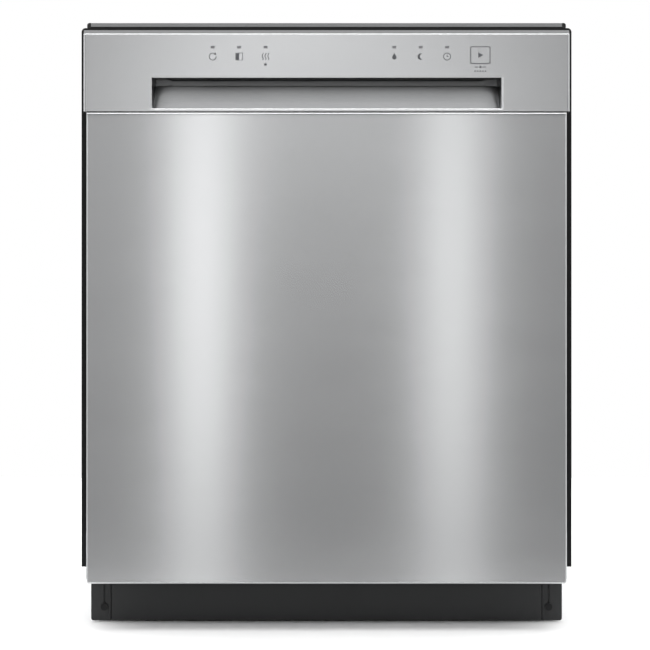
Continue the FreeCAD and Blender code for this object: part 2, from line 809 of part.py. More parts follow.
door_panel()
control_fascia()
handle_pocket()
door_insulation()
door_liner()
keep("hinge_arms", group("hinge_arms", *either_side(hinge_arm)))
control_parts()
latch()
dispenser()
door_vent()


# Cabinet

def tub():
    """Wash tub: a rounded box open to the front, with the sump hole in its floor."""
    body = new_body("tub")
    shell = rect(centred("tub_width"), ("tub_bottom", "tub_top"))
    hollow = rect(centred("tub_width - 2 * tub_wall"), ("floor_z", "tub_top - tub_wall"))
    pad(body, "XZ_Plane", [shell], "tub_y", "tub_rear")
    pocket(body, "XZ_Plane", [hollow], "tub_y", "tub_rear - tub_wall")
    inner_x = at("tub_width") / 2 - at("tub_wall")
    outer_x = at("tub_width") / 2
    round_off(body, "tub_corner", lambda e: runs(e, "y") and meets(abs(e.BoundBox.XMin), inner_x))
    round_off(body, "tub_corner + tub_wall", lambda e: runs(e, "y") and meets(abs(e.BoundBox.XMin), outer_x))
    sump_hole = Round("0", "wash_centre_y", "sump_hole")
    float_hole = Round("float_x", "float_y", "float_stem + slot_gap")
    leg_holes = [Round(f"{sign} * heater_leg_x", "heater_leg_y", "heater_tube + 2 * slot_gap")
                 for sign in (-1, 1)]
    pocket(body, "XY_Plane", [sump_hole, float_hole, *leg_holes], "tub_bottom", "floor_z")


def front_frame():
    """Black collar round the door opening, with a shelf over the tub for the trim and the brackets."""
    body = new_body("front_frame")
    collar = [
        ("-machine_width / 2", "frame_foot"),
        ("-machine_width / 2 + frame_leg", "frame_foot"),
        ("-machine_width / 2 + frame_leg", "frame_leg_top"),
        ("-frame_opening / 2", "frame_leg_top"),
        ("-frame_opening / 2", "frame_opening_top"),
        ("frame_opening / 2", "frame_opening_top"),
        ("frame_opening / 2", "frame_leg_top"),
        ("machine_width / 2 - frame_leg", "frame_leg_top"),
        ("machine_width / 2 - frame_leg", "frame_foot"),
        ("machine_width / 2", "frame_foot"),
        ("machine_width / 2", "frame_top"),
        ("-machine_width / 2", "frame_top"),
    ]
    pad(body, "XZ_Plane", [collar], "frame_y", "tub_y")
    round_off(body, "frame_corner", lambda e: runs(e, "y") and meets(e.BoundBox.ZMin, at("frame_top")))
    shelf = rect(centred("tub_width"), ("tub_top", "frame_top"))
    pad(body, "XZ_Plane", [shelf], "tub_y", "tub_y + frame_shelf")
    holes = [Round(f"{sign} * bracket_x", "bracket_y", "bracket_hole") for sign in (-1, 1)]
    pocket(body, "XY_Plane", holes, "tub_top", "frame_top")


def trim_end_cap(sign):
    """Rounded end of the strip over the frame."""
    cap = doc.addObject("PartDesign::Body", "end_cap")
    ends = side(sign, "strip_width / 2 - strip_cap", "strip_width / 2")
    up = ("frame_top", "frame_top + strip_height")
    pad(cap, "XZ_Plane", [rect(ends, up)], "strip_y", "strip_back")
    outer = sign * at("strip_width") / 2
    round_off(cap, "strip_round", lambda e: runs(e, "y") and meets(e.BoundBox.XMin, outer)
              and e.BoundBox.ZMin > at("frame_top"))
    return cap


def trim():
    """Grey strip over the frame, and its black ends."""
    body = new_body("top_trim_strip")
    face = rect(centred("strip_width - 2 * strip_cap"), ("frame_top", "frame_top + strip_height"))
    pad(body, "XZ_Plane", [face], "strip_y", "strip_back")
    keep("trim_end_caps", group("trim_end_caps", *either_side(trim_end_cap)))


def door_gasket():
    """Rubber seal in the frame, round the dish of the inner door."""
    body = new_body("door_gasket")
    outside = rect(centred("frame_opening"), ("tub_bottom", "frame_opening_top"))
    inside = rect(centred("dish_width + 2 * running_gap"),
                  ("floor_z", "dish_top + gasket_top_gap"))
    pad(body, "XZ_Plane", [outside, inside], "tub_y - gasket_depth", "tub_y")


def insulation_blanket():
    """Sound blanket over the top and the sides of the tub."""
    body = new_body("insulation_blanket")
    inner = "tub_width / 2"
    outer = "tub_width / 2 + blanket_thick"
    low = "tub_bottom + blanket_drop"
    arch = [
        (f"-({outer})", low),
        (f"-({inner})", low),
        (f"-({inner})", "tub_top"),
        (inner, "tub_top"),
        (inner, low),
        (outer, low),
        (outer, "tub_top + blanket_thick"),
        (f"-({outer})", "tub_top + blanket_thick"),
    ]
    pad(body, "XZ_Plane", [arch], "tub_y + frame_shelf + blanket_gap", "tub_rear")


def side_frame(sign, name):
    """Base rail under one side of the tub: a channel with the hinge ear at its front."""
    body = new_body(name)
    outer = f"{sign} * base_width / 2"
    web = f"{sign} * web_x"
    lip = f"{sign} * (base_width / 2 - base_flange)"
    channel = [
        (outer, "base_bottom"),
        (outer, "tub_bottom"),
        (lip, "tub_bottom"),
        (lip, "tub_bottom - frame_sheet"),
        (web, "tub_bottom - frame_sheet"),
        (web, "pan_z"),
        (lip, "pan_z"),
        (lip, "base_bottom"),
    ]
    pad(body, "XZ_Plane", [channel], "base_y", "rear_y - frame_sheet")
    ear = rect(("pivot_y - arm_eye - ear_margin", "base_y"), ("ear_bottom", "tub_bottom"))
    pad(body, "YZ_Plane", [ear], *side(sign, "web_x", "base_width / 2"))
    studs = [Round(f"{sign} * foot_x", y, "foot_stud + pin_gap") for y in ("foot_front_y", "foot_rear_y")]
    pocket(body, "XY_Plane", studs, "base_bottom", "pan_z")


def foot(sign, y):
    """Levelling foot: a pad on a stud that stands in the base rail."""
    body = doc.addObject("PartDesign::Body", "foot")
    turned(body, [
        ("0", "0"),
        ("foot_radius", "0"),
        ("foot_radius", "foot_height / 2"),
        ("2 * foot_stud", "foot_height"),
        ("foot_stud", "foot_height"),
        ("foot_stud", "foot_stud_top"),
        ("0", "foot_stud_top"),
    ])
    return put(body, f"{sign} * foot_x", y, "0")


def base():
    """Rear bar, drip pan, feet and hinge pins."""
    bar = new_body("rear_crossbar")
    plate = rect(centred("base_width"), ("base_bottom", "tub_bottom"))
    window = ("base_bottom + base_flange", "tub_bottom - base_flange")
    windows = [rect(side(sign, "base_flange", "web_x - base_flange"), window) for sign in (1, -1)]
    cable_hole = Round("0", "window_z", "cable_hole")
    pad(bar, "XZ_Plane", [plate, *windows, cable_hole], "rear_y - frame_sheet", "rear_y")
    pan = new_body("base_pan")
    half = "base_width - 2 * base_flange + 2 * pan_lap"
    along = ("base_y + pan_lap", "rear_y - frame_sheet - running_gap")
    floor = rect(centred(half), along)
    hollow = rect(centred(f"{half} - 2 * steel_sheet"),
                  (f"{along[0]} + steel_sheet", f"{along[1]} - steel_sheet"))
    pad(pan, "XY_Plane", [floor], "pan_z", "pan_z + pan_rim")
    pocket(pan, "XY_Plane", [hollow], "pan_z + steel_sheet", "pan_z + pan_rim")
    keep("front_feet", group("front_feet", *either_side(lambda sign: foot(sign, "foot_front_y"))))
    keep("rear_feet", group("rear_feet", *either_side(lambda sign: foot(sign, "foot_rear_y"))))
    keep("hinge_pins", group("hinge_pins", *either_side(hinge_pin)))


def hinge_pin(sign):
    """Pin on the hinge ear that the door's arm turns on."""
    across = side(sign, "hinge_x + slot_gap", "web_x")
    start = (across[0], "pivot_y", "pivot_height")
    return rod("hinge_pin", "x", start, "pin_radius", "web_x - hinge_x - slot_gap")


def kick_bracket(sign):
    """End plate of the plinth, with the slot for its height screw."""
    body = doc.addObject("PartDesign::Body", "kick_bracket")
    across = side(sign, "kick_panel_width / 2 + kick_gap", "base_width / 2")
    plate = rect(across, ("kick_bottom", "ear_bottom - kick_gap"))
    pad(body, "XZ_Plane", [plate], "kick_y", "kick_y + frame_sheet")
    outer = sign * at("base_width") / 2
    round_off(body, "kick_corner", lambda e: runs(e, "y") and meets(e.BoundBox.XMin, outer)
              and meets(e.BoundBox.ZMin, at("kick_bottom")))
    slot = rect(around(f"{sign} * kick_screw_x", "kick_slot"),
                ("kick_screw_z - kick_slot / 2", "kick_slot_top"))
    pocket(body, "XZ_Plane", [slot], "kick_y", "kick_y + frame_sheet")
    return body


def kick_screw(sign):
    """Round-headed screw that clamps an end plate."""
    start = (f"{sign} * kick_screw_x", "kick_y - kick_screw_head", "kick_screw_z")
    head = rod("screw_head", "y", start, "kick_screw_radius", "kick_screw_head")
    shank_start = (f"{sign} * kick_screw_x", "kick_y", "kick_screw_z")
    shank = rod("screw_shank", "y", shank_start, "kick_slot / 2 - pin_gap", "frame_sheet")
    return fuse("kick_screw", head, shank)


def toe_kick():
    """Plinth: the removable centre panel, its end plates and their screws."""
    body = new_body("toe_kick_panel")
    face = rect(centred("kick_panel_width"), ("kick_bottom", "kick_top"))
    pad(body, "XZ_Plane", [face], "kick_y", "kick_y + frame_sheet")
    tabs = [rect(side(sign, "kick_panel_width / 2 - kick_tab", "kick_panel_width / 2 + kick_tab"),
                 ("kick_bottom", "ear_bottom - kick_gap")) for sign in (1, -1)]
    pad(body, "XZ_Plane", tabs, "kick_y + frame_sheet", "base_y")
    fold = rect(centred("kick_panel_width"), ("kick_top - steel_sheet", "kick_top"))
    pad(body, "XZ_Plane", [fold], "kick_y + frame_sheet", "kick_y + frame_sheet + kick_fold")
    keep("toe_kick_brackets", group("toe_kick_brackets", *either_side(kick_bracket)))
    keep("toe_kick_screws", group("toe_kick_screws", *either_side(kick_screw)))


def counter_bracket(sign):
    """Tab that a screw through it holds up to the worktop."""
    across = around(f"{sign} * bracket_x", "bracket_width")
    tab = box("bracket_tab", across, ("strip_back", "strip_back + bracket_depth"),
              ("frame_top", "frame_top + frame_sheet"))
    hole_start = (f"{sign} * bracket_x", "bracket_y", "frame_top")
    hole = rod("bracket_bore", "z", hole_start, "bracket_hole", "frame_sheet")
    return cut("bracket", tab, hole)


def latch_strike():
    """Loop on the frame that the catch in the door holds."""
    body = new_body("latch_strike")
    along = ("frame_y - strike_reach", "frame_y")
    loop = rect(centred("strike_width"), along)
    window = rect(centred("strike_width - 2 * latch_wall"),
                  (f"{along[0]} + latch_wall", f"{along[1]} - latch_wall"))
    pad(body, "XY_Plane", [loop, window], "strike_height", "strike_height + strike_thick")


tub()
front_frame()
trim()
door_gasket()
insulation_blanket()
side_frame(-1, "side_frame_left")
side_frame(1, "side_frame_right")
base()
toe_kick()
keep("counter_brackets", group("counter_brackets", *either_side(counter_bracket)))
latch_strike()


# Water works

def sump():
    """Bowl under the tub floor, with a boss for each pump."""
    body = new_body("sump")
    turned(body, [
        ("sump_hole", "0"),
        ("sump_radius", "0"),
        ("sump_radius", "-2 * moulded_wall"),
        ("sump_hole + moulded_wall", "-2 * moulded_wall"),
        ("bowl_foot", "-sump_depth"),
        ("0", "-sump_depth"),
        ("0", "moulded_wall - sump_depth"),
        ("bowl_foot - moulded_wall", "moulded_wall - sump_depth"),
    ])
    boss = Round("0", "-pump_drop", "pump_boss")
    pad(body, "YZ_Plane", [boss], "bowl_foot", "pump_boss_reach")
    pad(body, "YZ_Plane", [boss], "-pump_boss_reach", "-bowl_foot")
    put(body, "0", "wash_centre_y", "tub_bottom")


def pumps():
    """Wash pump on the right of the sump, drain pump with its hose spigot on the left."""
    volute_start = ("pump_boss_reach", "wash_centre_y", "pump_z")
    volute = rod("volute", "x", volute_start, "pump_radius", "volute_length")
    motor_start = ("pump_boss_reach + volute_length", "wash_centre_y", "pump_z")
    motor = rod("motor", "x", motor_start, "motor_radius", "pump_length - volute_length")
    keep("wash_pump", fuse("wash_pump", volute, motor))
    drain_x = "-pump_boss_reach - drain_length"
    casing = rod("drain_casing", "x", (drain_x, "wash_centre_y", "pump_z"), "drain_radius", "drain_length")
    boss_x = f"{drain_x} + drain_length / 2"
    boss_start = (boss_x, "wash_centre_y", "pump_z")
    boss = rod("drain_boss", "y", boss_start, "port_radius + moulded_wall", "drain_reach")
    keep("drain_pump", fuse("drain_pump", casing, boss))
    port_start = (boss_x, "wash_centre_y + drain_reach", "pump_z")
    spigot = rod("spigot", "y", port_start, "port_radius", "port_length")
    bore = rod("spigot_bore", "y", port_start, "port_bore", "port_length")
    keep("drain_outlet", cut("drain_outlet", spigot, bore))


def supplies():
    """Water valve and mains junction box on the base pan, behind the plinth."""
    floor = "pan_floor"
    block = box("valve_block", around("valve_x", "valve_width"), ("valve_y", "valve_y + valve_depth"),
                (floor, f"{floor} + valve_height"))
    port_start = ("valve_x", "valve_y + valve_depth", "window_z")
    port = rod("valve_port", "y", port_start, "valve_port", "valve_port_length")
    keep("inlet_valve", fuse("inlet_valve", block, port))
    case = new_body("junction_box")
    across = around("junction_x", "junction_width")
    along = ("valve_y", "valve_y + junction_depth")
    pad(case, "XY_Plane", [rect(across, along)], floor, f"{floor} + junction_height")
    hollow = rect((f"{across[0]} + moulded_wall", f"{across[1]} - moulded_wall"),
                  (f"{along[0]} + moulded_wall", f"{along[1]} - moulded_wall"))
    pocket(case, "XY_Plane", [hollow], f"{floor} + moulded_wall", f"{floor} + junction_height - moulded_wall")
    knockout = Round("junction_x", f"{floor} + junction_height / 2", "knockout")
    pocket(case, "XZ_Plane", [knockout], f"{along[1]} - moulded_wall", along[1])


def weld(name, pieces):
    """Sub-part that is one solid from wires that touch."""
    joined = doc.addObject("Part::Feature", name)
    joined.Shape = pieces[0].multiFuse(pieces[1:]).removeSplitter()
    keep(name, joined)


def assemble(name, pieces):
    """Sub-part of several solids that touch."""
    joined = doc.addObject("Part::Feature", name)
    joined.Shape = Part.makeCompound(pieces)
    keep(name, joined)


def octagon_corners(centre, across, upward, flats):
    """Corners of an eight-sided section about a point, with flats square to two directions."""
    half_turn = math.pi / 8
    reach = flats / 2 / math.cos(half_turn)
    corners = []
    for step in range(8):
        angle = half_turn * (2 * step + 1)
        corners.append(centre + across * reach * math.cos(angle) + upward * reach * math.sin(angle))
    return corners


def octagon(centre, across, upward, flats):
    """Closed outline of an eight-sided section."""
    corners = octagon_corners(centre, across, upward, flats)
    return Part.makePolygon(corners + corners[:1])


def heater_element():
    """Heating rod: an open ring over the tub floor, with two tails down through it."""
    thick = 2 * at("heater_tube")
    leg_x, leg_y = at("heater_leg_x"), at("heater_leg_y")
    middle = FreeCAD.Vector(0, at("wash_centre_y"), at("floor_z") + at("heater_lift") + at("heater_tube"))
    outward = FreeCAD.Vector(leg_x, leg_y - middle.y, 0).normalize()
    end = middle + outward * at("heater_radius")
    gap_angle = math.degrees(math.asin(leg_x / at("heater_radius")))
    ring = Part.Face(octagon(end, outward, UP, thick)).revolve(middle, UP, 360 - 2 * gap_angle)
    pieces = [ring]
    foot = at("tub_bottom") - at("heater_tail")
    for sign in (-1, 1):
        section = octagon(FreeCAD.Vector(sign * leg_x, leg_y, foot), ALONG_X, ALONG_Y, thick)
        rise = UP * (middle.z + at("heater_tube") - foot)
        pieces.append(Part.Face(section).extrude(rise))
    weld("heater_element", pieces)


def filters():
    """Flat mesh plate over the sump, and the cup filter that turns in it."""
    plate = new_body("fine_filter")
    loops = [Round("0", "0", "sump_hole + sump_radius / 8"),
             Round("0", "0", "hub_radius + slot_gap"),
             Round("0", "-filter_offset", "filter_radius + slot_gap")]
    pad(plate, "XY_Plane", loops, "0", "moulded_wall")
    put(plate, "0", "wash_centre_y", "floor_z")
    cup = new_body("coarse_filter")
    turned(cup, [
        ("0", "-filter_depth"),
        ("filter_radius", "-filter_depth"),
        ("filter_radius", "slot_gap"),
        ("filter_radius + 2 * moulded_wall", "slot_gap"),
        ("filter_radius + 2 * moulded_wall", "slot_gap + moulded_wall"),
        ("filter_radius - moulded_wall", "slot_gap + moulded_wall"),
        ("filter_radius - moulded_wall", "moulded_wall - filter_depth"),
        ("0", "moulded_wall - filter_depth"),
    ])
    grip = rect(centred("2 * filter_radius"), centred("2 * moulded_wall"))
    pad(cup, "XY_Plane", [grip], "slot_gap", "slot_gap + 4 * moulded_wall")
    put(cup, "0", "wash_centre_y - filter_offset", "floor_z + moulded_wall")


def float_switch():
    """Overfill float: a dome on a stem through the tub floor."""
    body = new_body("float")
    turned(body, [
        ("0", "-float_tail"),
        ("float_stem", "-float_tail"),
        ("float_stem", "slot_gap"),
        ("float_radius", "slot_gap"),
        ("float_radius", "0.7 * float_height"),
        ("0.6 * float_radius", "float_height"),
        ("0", "float_height"),
    ])
    put(body, "float_x", "float_y", "floor_z")


def spray_arm(name, reach, bottom):
    """Spray arm: two tapered blades on a round hub, with jets along the top."""
    body = new_body(name)
    wide = "spray_width / 2"
    tip = "spray_width / 4"
    blade = [
        (f"-{reach}", f"-({tip})"),
        ("0", f"-({wide})"),
        (reach, f"-({tip})"),
        (reach, tip),
        ("0", wide),
        (f"-{reach}", tip),
    ]
    pad(body, "XY_Plane", [blade], "0", "spray_thick")
    round_off(body, "0.45 * spray_width / 2", lambda e: runs(e, "z") and not meets(e.BoundBox.XMin, 0))
    pocket(body, "XY_Plane", [Round("0", "0", "hub_pin + pin_gap")], "0", "spray_thick")
    jets = [Round(f"{sign} * {share} * {reach}", "0", "jet_radius")
            for sign in (-1, 1) for share in (0.3, 0.5, 0.7, 0.88)]
    pocket(body, "XY_Plane", jets, "spray_thick - moulded_wall", "spray_thick")
    put(body, "0", "wash_centre_y", bottom)


def spray_system():
    """Hub, riser, duct and the two spray arms."""
    hub = new_body("spray_hub")
    foot_z = "tub_bottom - sump_depth + moulded_wall"
    turned(hub, [
        ("0", foot_z),
        ("hub_radius", foot_z),
        ("hub_radius", "arm_z - running_gap"),
        ("hub_pin", "arm_z - running_gap"),
        ("hub_pin", "arm_z + spray_thick"),
        ("0", "arm_z + spray_thick"),
    ])
    put(hub, "0", "wash_centre_y", "0")
    spray_arm("lower_spray_arm", "lower_arm_reach", "arm_z")
    duct_top = "upper_rack_floor - wire / 2"
    duct_bottom = f"{duct_top} - duct_depth"
    duct = box("manifold_duct", centred("duct_width"), ("wash_centre_y - duct_width / 2", "rack_rear"),
               (duct_bottom, duct_top))
    arm_bottom = f"{duct_bottom} - running_gap - spray_thick"
    pin_start = ("0", "wash_centre_y", arm_bottom)
    pivot = rod("manifold_pin", "z", pin_start, "hub_pin", "spray_thick + running_gap")
    keep("upper_spray_manifold", fuse("upper_spray_manifold", duct, pivot))
    spray_arm("upper_spray_arm", "upper_arm_reach", arm_bottom)
    wall_y = "tub_rear - tub_wall"
    ceiling = "tub_top - tub_wall"
    riser = box("riser", centred("duct_width"), (f"{wall_y} - duct_depth", wall_y), ("floor_z", ceiling))
    header = box("header", centred("duct_width"), ("wash_centre_y - duct_width / 2", wall_y),
                 (f"{ceiling} - duct_depth", ceiling))
    spout_length = f"{wall_y} - duct_depth - rack_rear - running_gap"
    spout = rod("spout", "y", ("0", "rack_rear + running_gap", f"{duct_top} - duct_depth / 2"),
                "duct_depth / 2", spout_length)
    keep("water_feed_tube", fuse("water_feed_tube", riser, header, spout))
    nozzle = new_body("top_spray_nozzle")
    turned(nozzle, [
        ("0", "-nozzle_height"),
        ("0.7 * nozzle_radius", "-nozzle_height"),
        ("nozzle_radius", "-nozzle_height / 3"),
        ("nozzle_radius", "0"),
        ("0", "0"),
    ])
    put(nozzle, "0", "wash_centre_y", f"{ceiling} - duct_depth")


sump()
pumps()
supplies()
heater_element()
filters()
float_switch()
spray_system()


# Racks

def straight_length(ring, far_ring):
    """Solid between two eight-sided ends."""
    faces = [Part.Face(Part.makePolygon(end + end[:1])) for end in (ring, far_ring)]
    for step in range(len(ring)):
        edge = [ring[step - 1], ring[step], far_ring[step], far_ring[step - 1]]
        faces.append(Part.Face(Part.makePolygon(edge + edge[:1])))
    return Part.makeSolid(Part.makeShell(faces))


def wire_run(points):
    """Straight lengths of a bent wire of eight-sided section, cut at the mitre of each bend."""
    path = [FreeCAD.Vector(*point) for point in points]
    ways = [(end - start).normalize() for start, end in zip(path, path[1:])]
    closed = path[0] == path[-1]
    before = [ways[-1] if closed else ways[0]] + ways
    after = ways + [ways[0] if closed else ways[-1]]
    mitres = [(one + other).normalize() for one, other in zip(before, after)]
    lengths = []
    for step, along in enumerate(ways):
        across = ALONG_Y if meets(abs(along.x), 1) else ALONG_X
        upward = along.cross(across).normalize()
        section = octagon_corners(path[step], upward.cross(along), upward, at("wire"))
        ends = []
        for spot, normal in zip(path[step:step + 2], mitres[step:step + 2]):
            slope = along.dot(normal)
            ends.append([corner + along * ((spot - corner).dot(normal) / slope) for corner in section])
        lengths.append(straight_length(*ends))
    return lengths


def spread(low, high, count):
    """Evenly spaced values from low to high, ends included."""
    return [low + (high - low) * step / (count - 1) for step in range(count)]


def wire_basket(width, front, rear, slope, floor, height, rims):
    """Welded basket as five flat mats that meet at the bends: floor, left, right, front and rear.

    Cross wires lie below, long wires on them, and the rims outside both.
    """
    wire = at("wire")
    top = floor + height
    half = width / 2 - wire / 2
    bottom, left, right, near, far = [], [], [], [], []
    inset = slope + 6 * wire
    for y in spread(front + inset, rear - inset, COUNTS["cross_wires"]):
        bent = wire_run([(-half, y, top), (-half, y, floor), (half, y, floor), (half, y, top)])
        for mat, length in zip((left, bottom, right), bent):
            mat.append(length)
    level = floor + wire
    start, end = front + wire * 1.5, rear - wire * 1.5
    for x in spread(-half + inset, half - inset, COUNTS["long_wires"]):
        bent = wire_run([(x, start, top), (x, start + slope, level), (x, end, level), (x, end, top)])
        for mat, length in zip((near, bottom, far), bent):
            mat.append(length)
    for rim_z in rims:
        lean = slope * (top - rim_z) / (top - level)
        rim_front = front + wire / 2 + lean
        rim_x = half + wire
        rim_rear = rear - wire / 2
        loop = [(-rim_x, rim_front), (rim_x, rim_front), (rim_x, rim_rear), (-rim_x, rim_rear)]
        bent = wire_run([(x, y, rim_z) for x, y in loop + loop[:1]])
        for mat, length in zip((near, right, far, left), bent):
            mat.append(length)
    return [mat[0].multiFuse(mat[1:]).removeSplitter() for mat in (bottom, left, right, near, far)]


def tine_row(y, half, base_z, height, count):
    """Row of upright plate tines on a runner wire that lies across the basket."""
    wire = at("wire")
    runner, = wire_run([(-half, y, base_z), (half, y, base_z)])
    uprights = []
    for x in spread(3 * wire - half, half - 3 * wire, count):
        uprights += wire_run([(x, y, base_z + wire / 2), (x, y, base_z + height)])
    return runner.multiFuse(uprights).removeSplitter()


def lower_rack():
    """Lower basket, and the three rows of plate tines that clip across its floor."""
    wire = at("wire")
    floor = at("lower_rack_floor")
    front, rear = at("lower_front"), at("rack_rear")
    width, height = at("lower_rack_width"), at("lower_rack_height")
    low_rim = floor + 2 * wire
    rims = (low_rim, floor + height - wire)
    assemble("lower_rack", wire_basket(width, front, rear, at("lower_rack_slope"), floor, height, rims))
    rows = [tine_row(front + share * (rear - front), width / 2 - 6 * wire, low_rim, at("tine_height"),
                     COUNTS["tine_count"]) for share in (0.55, 0.7, 0.85)]
    assemble("lower_tine_rows", rows)


def wheel_carrier(sign, y):
    """Moulded leg under the rim of the lower rack, with the axle of one wheel."""
    rim = "lower_rack_width / 2"
    across = side(sign, rim, f"{rim} + wire")
    leg = box("carrier_leg", across, around(y, "wheel_leg"), ("wheel_z - wheel_leg / 2", "long_wire_top"))
    length = "slot_gap + wheel_thick"
    start = side(sign, f"{rim} + wire", f"{rim} + wire + {length}")[0]
    axle = rod("carrier_axle", "x", (start, y, "wheel_z"), "axle_radius", length)
    return fuse("wheel_carrier", leg, axle)


def upper_rack():
    """Upper basket with cup tines; the middle rim carries the rails."""
    wire = at("wire")
    floor = at("upper_rack_floor")
    front, rear = at("lower_front"), at("rack_rear")
    top = floor + at("upper_rack_height")
    low_rim = floor + 2 * wire
    rims = (low_rim, at("rail_z"), top - wire)
    pieces = wire_basket(at("upper_rack_width"), front, rear, 0, floor, at("upper_rack_height"), rims)
    for share in (0.35, 0.65):
        row_y = front + share * (rear - front)
        half = at("upper_rack_width") / 2 - 6 * wire
        pieces.append(tine_row(row_y, half, low_rim, at("tine_height"), COUNTS["tine_count"]))
    assemble("upper_rack", pieces)


def ring_wheel(sign, near, y, z, radius, thick):
    """Wheel on one side, bored for its axle."""
    across = side(sign, near, f"{near} + {thick}")
    disc = rod("wheel_disc", "x", (across[0], y, z), radius, thick)
    bore = rod("wheel_bore", "x", (across[0], y, z), "axle_radius + pin_gap", thick)
    return cut("wheel", disc, bore)


def running_gear():
    """Wheels of the lower rack on their carriers; rails of the upper rack between their rollers."""
    carriers = [wheel_carrier(sign, y) for sign in (1, -1) for y in ("wheel_front_y", "wheel_rear_y")]
    keep("lower_wheel_carriers", group("lower_wheel_carriers", *carriers))
    for name, y in (("lower_wheels_front", "wheel_front_y"), ("lower_wheels_rear", "wheel_rear_y")):
        pair = [ring_wheel(sign, "wheel_x", y, "wheel_z", "wheel_radius", "wheel_thick") for sign in (1, -1)]
        keep(name, group(name, *pair))
    keep("upper_rack_rails", group("upper_rack_rails", *either_side(upper_rail)))
    reach = "rail_height / 2 + roller_radius + slot_gap"
    spots = {"upper_rollers_low": ("roller_front_y", f"rail_z - ({reach})"),
             "upper_rollers_high": ("roller_front_y + roller_pitch", f"rail_z + {reach}")}
    studs = []
    near = "rail_x + slot_gap"
    wall = "tub_width / 2 - tub_wall"
    for name, (y, z) in spots.items():
        pair = [ring_wheel(sign, near, y, z, "roller_radius", "roller_thick") for sign in (1, -1)]
        keep(name, group(name, *pair))
        for sign in (1, -1):
            start = side(sign, near, wall)[0]
            studs.append(rod("roller_stud", "x", (start, y, z), "axle_radius", f"{wall} - ({near})"))
    keep("upper_roller_studs", group("upper_roller_studs", *studs))


def upper_rail(sign):
    """Channel rail along one side of the upper rack, open to the tub wall."""
    rail = doc.addObject("PartDesign::Body", "rail")
    across = side(sign, "rail_x", "rail_x + rail_thick")
    groove = side(sign, "rail_x + moulded_wall", "rail_x + rail_thick")
    pad(rail, "XZ_Plane", [rect(across, around("rail_z", "rail_height"))], "lower_front", "rack_rear")
    pocket(rail, "XZ_Plane", [rect(groove, around("rail_z", "rail_height - 2 * moulded_wall"))],
           "lower_front", "rack_rear")
    return rail


def silverware_basket():
    """Moulded cutlery basket: open cells, upright slots in its long walls and a hand loop."""
    body = new_body("silverware_basket")
    bottom = "long_wire_top"
    top = f"{bottom} + basket_height"
    basket_front = "lower_front + lower_rack_slope + 3 * wire"
    along = (basket_front, f"{basket_front} + basket_depth")
    cells = COUNTS["basket_cells"]
    pitch = f"(basket_length - moulded_wall) / {cells}"
    pad(body, "XY_Plane", [rect(centred("basket_length"), along)], bottom, top)
    inside = (f"{along[0]} + moulded_wall", f"{along[1]} - moulded_wall")
    upright = (f"{bottom} + basket_slot_margin", f"{top} - basket_slot_margin")
    hollow_width = f"({pitch} - moulded_wall)"
    per_cell = COUNTS["basket_slots"]
    hollows, slots = [], []
    for cell in range(cells):
        middle = f"({cell} - ({cells} - 1) / 2) * {pitch}"
        hollows.append(rect(around(middle, hollow_width), inside))
        for slot in range(per_cell):
            slot_x = f"{middle} + ({slot} - ({per_cell} - 1) / 2) * {hollow_width} / {per_cell}"
            slots.append(rect(around(slot_x, "basket_slot_width"), upright))
    pocket(body, "XY_Plane", hollows, f"{bottom} + moulded_wall", top)
    pocket(body, "XZ_Plane", slots, *along)
    loop = rect(along, (top, f"{top} + basket_handle"))
    grip = rect((f"{along[0]} + 4 * moulded_wall", f"{along[1]} - 4 * moulded_wall"),
                (f"{top} + moulded_wall", f"{top} + basket_handle - 3 * moulded_wall"))
    pad(body, "YZ_Plane", [loop, grip], *centred("2 * moulded_wall"))


lower_rack()
upper_rack()
running_gear()
silverware_basket()


def write_parts():
    """Check every object and every sub-part, then write one file for each sub-part."""
    doc.recompute()
    failed = [thing.Name for thing in doc.Objects if {"Invalid", "Error"} & set(thing.State)]
    failed += [name for name, thing in NODES.items() if thing.Shape.isNull() or not thing.Shape.isValid()]
    if failed:
        raise RuntimeError("failed: " + ", ".join(failed))
    os.makedirs("parts", exist_ok=True)
    for name, thing in NODES.items():
        thing.Shape.exportStep(f"parts/{name}.step")


write_parts()
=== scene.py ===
import json
import math

import bmesh
import bpy
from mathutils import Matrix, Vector


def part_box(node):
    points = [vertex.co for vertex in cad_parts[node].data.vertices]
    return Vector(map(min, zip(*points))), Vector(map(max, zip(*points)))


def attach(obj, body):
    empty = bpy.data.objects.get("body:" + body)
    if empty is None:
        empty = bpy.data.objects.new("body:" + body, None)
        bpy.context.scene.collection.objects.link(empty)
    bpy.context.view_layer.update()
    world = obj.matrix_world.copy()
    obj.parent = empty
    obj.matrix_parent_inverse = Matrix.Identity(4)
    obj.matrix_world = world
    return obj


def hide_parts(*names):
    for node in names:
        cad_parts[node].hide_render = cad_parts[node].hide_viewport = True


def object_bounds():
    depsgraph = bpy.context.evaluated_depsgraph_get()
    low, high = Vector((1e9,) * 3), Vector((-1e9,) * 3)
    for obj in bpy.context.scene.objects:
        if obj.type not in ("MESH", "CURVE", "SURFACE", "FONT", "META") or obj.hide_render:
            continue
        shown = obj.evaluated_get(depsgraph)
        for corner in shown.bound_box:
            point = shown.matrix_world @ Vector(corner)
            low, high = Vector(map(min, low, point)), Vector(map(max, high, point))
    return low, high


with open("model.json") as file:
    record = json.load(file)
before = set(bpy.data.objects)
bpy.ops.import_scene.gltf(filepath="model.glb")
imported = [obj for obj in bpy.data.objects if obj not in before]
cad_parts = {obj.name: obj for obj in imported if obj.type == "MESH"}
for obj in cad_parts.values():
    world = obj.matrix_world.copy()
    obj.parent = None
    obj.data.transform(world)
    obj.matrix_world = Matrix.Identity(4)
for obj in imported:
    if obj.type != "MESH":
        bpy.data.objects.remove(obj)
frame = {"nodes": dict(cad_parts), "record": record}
cad_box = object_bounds()
nodes = frame["nodes"]

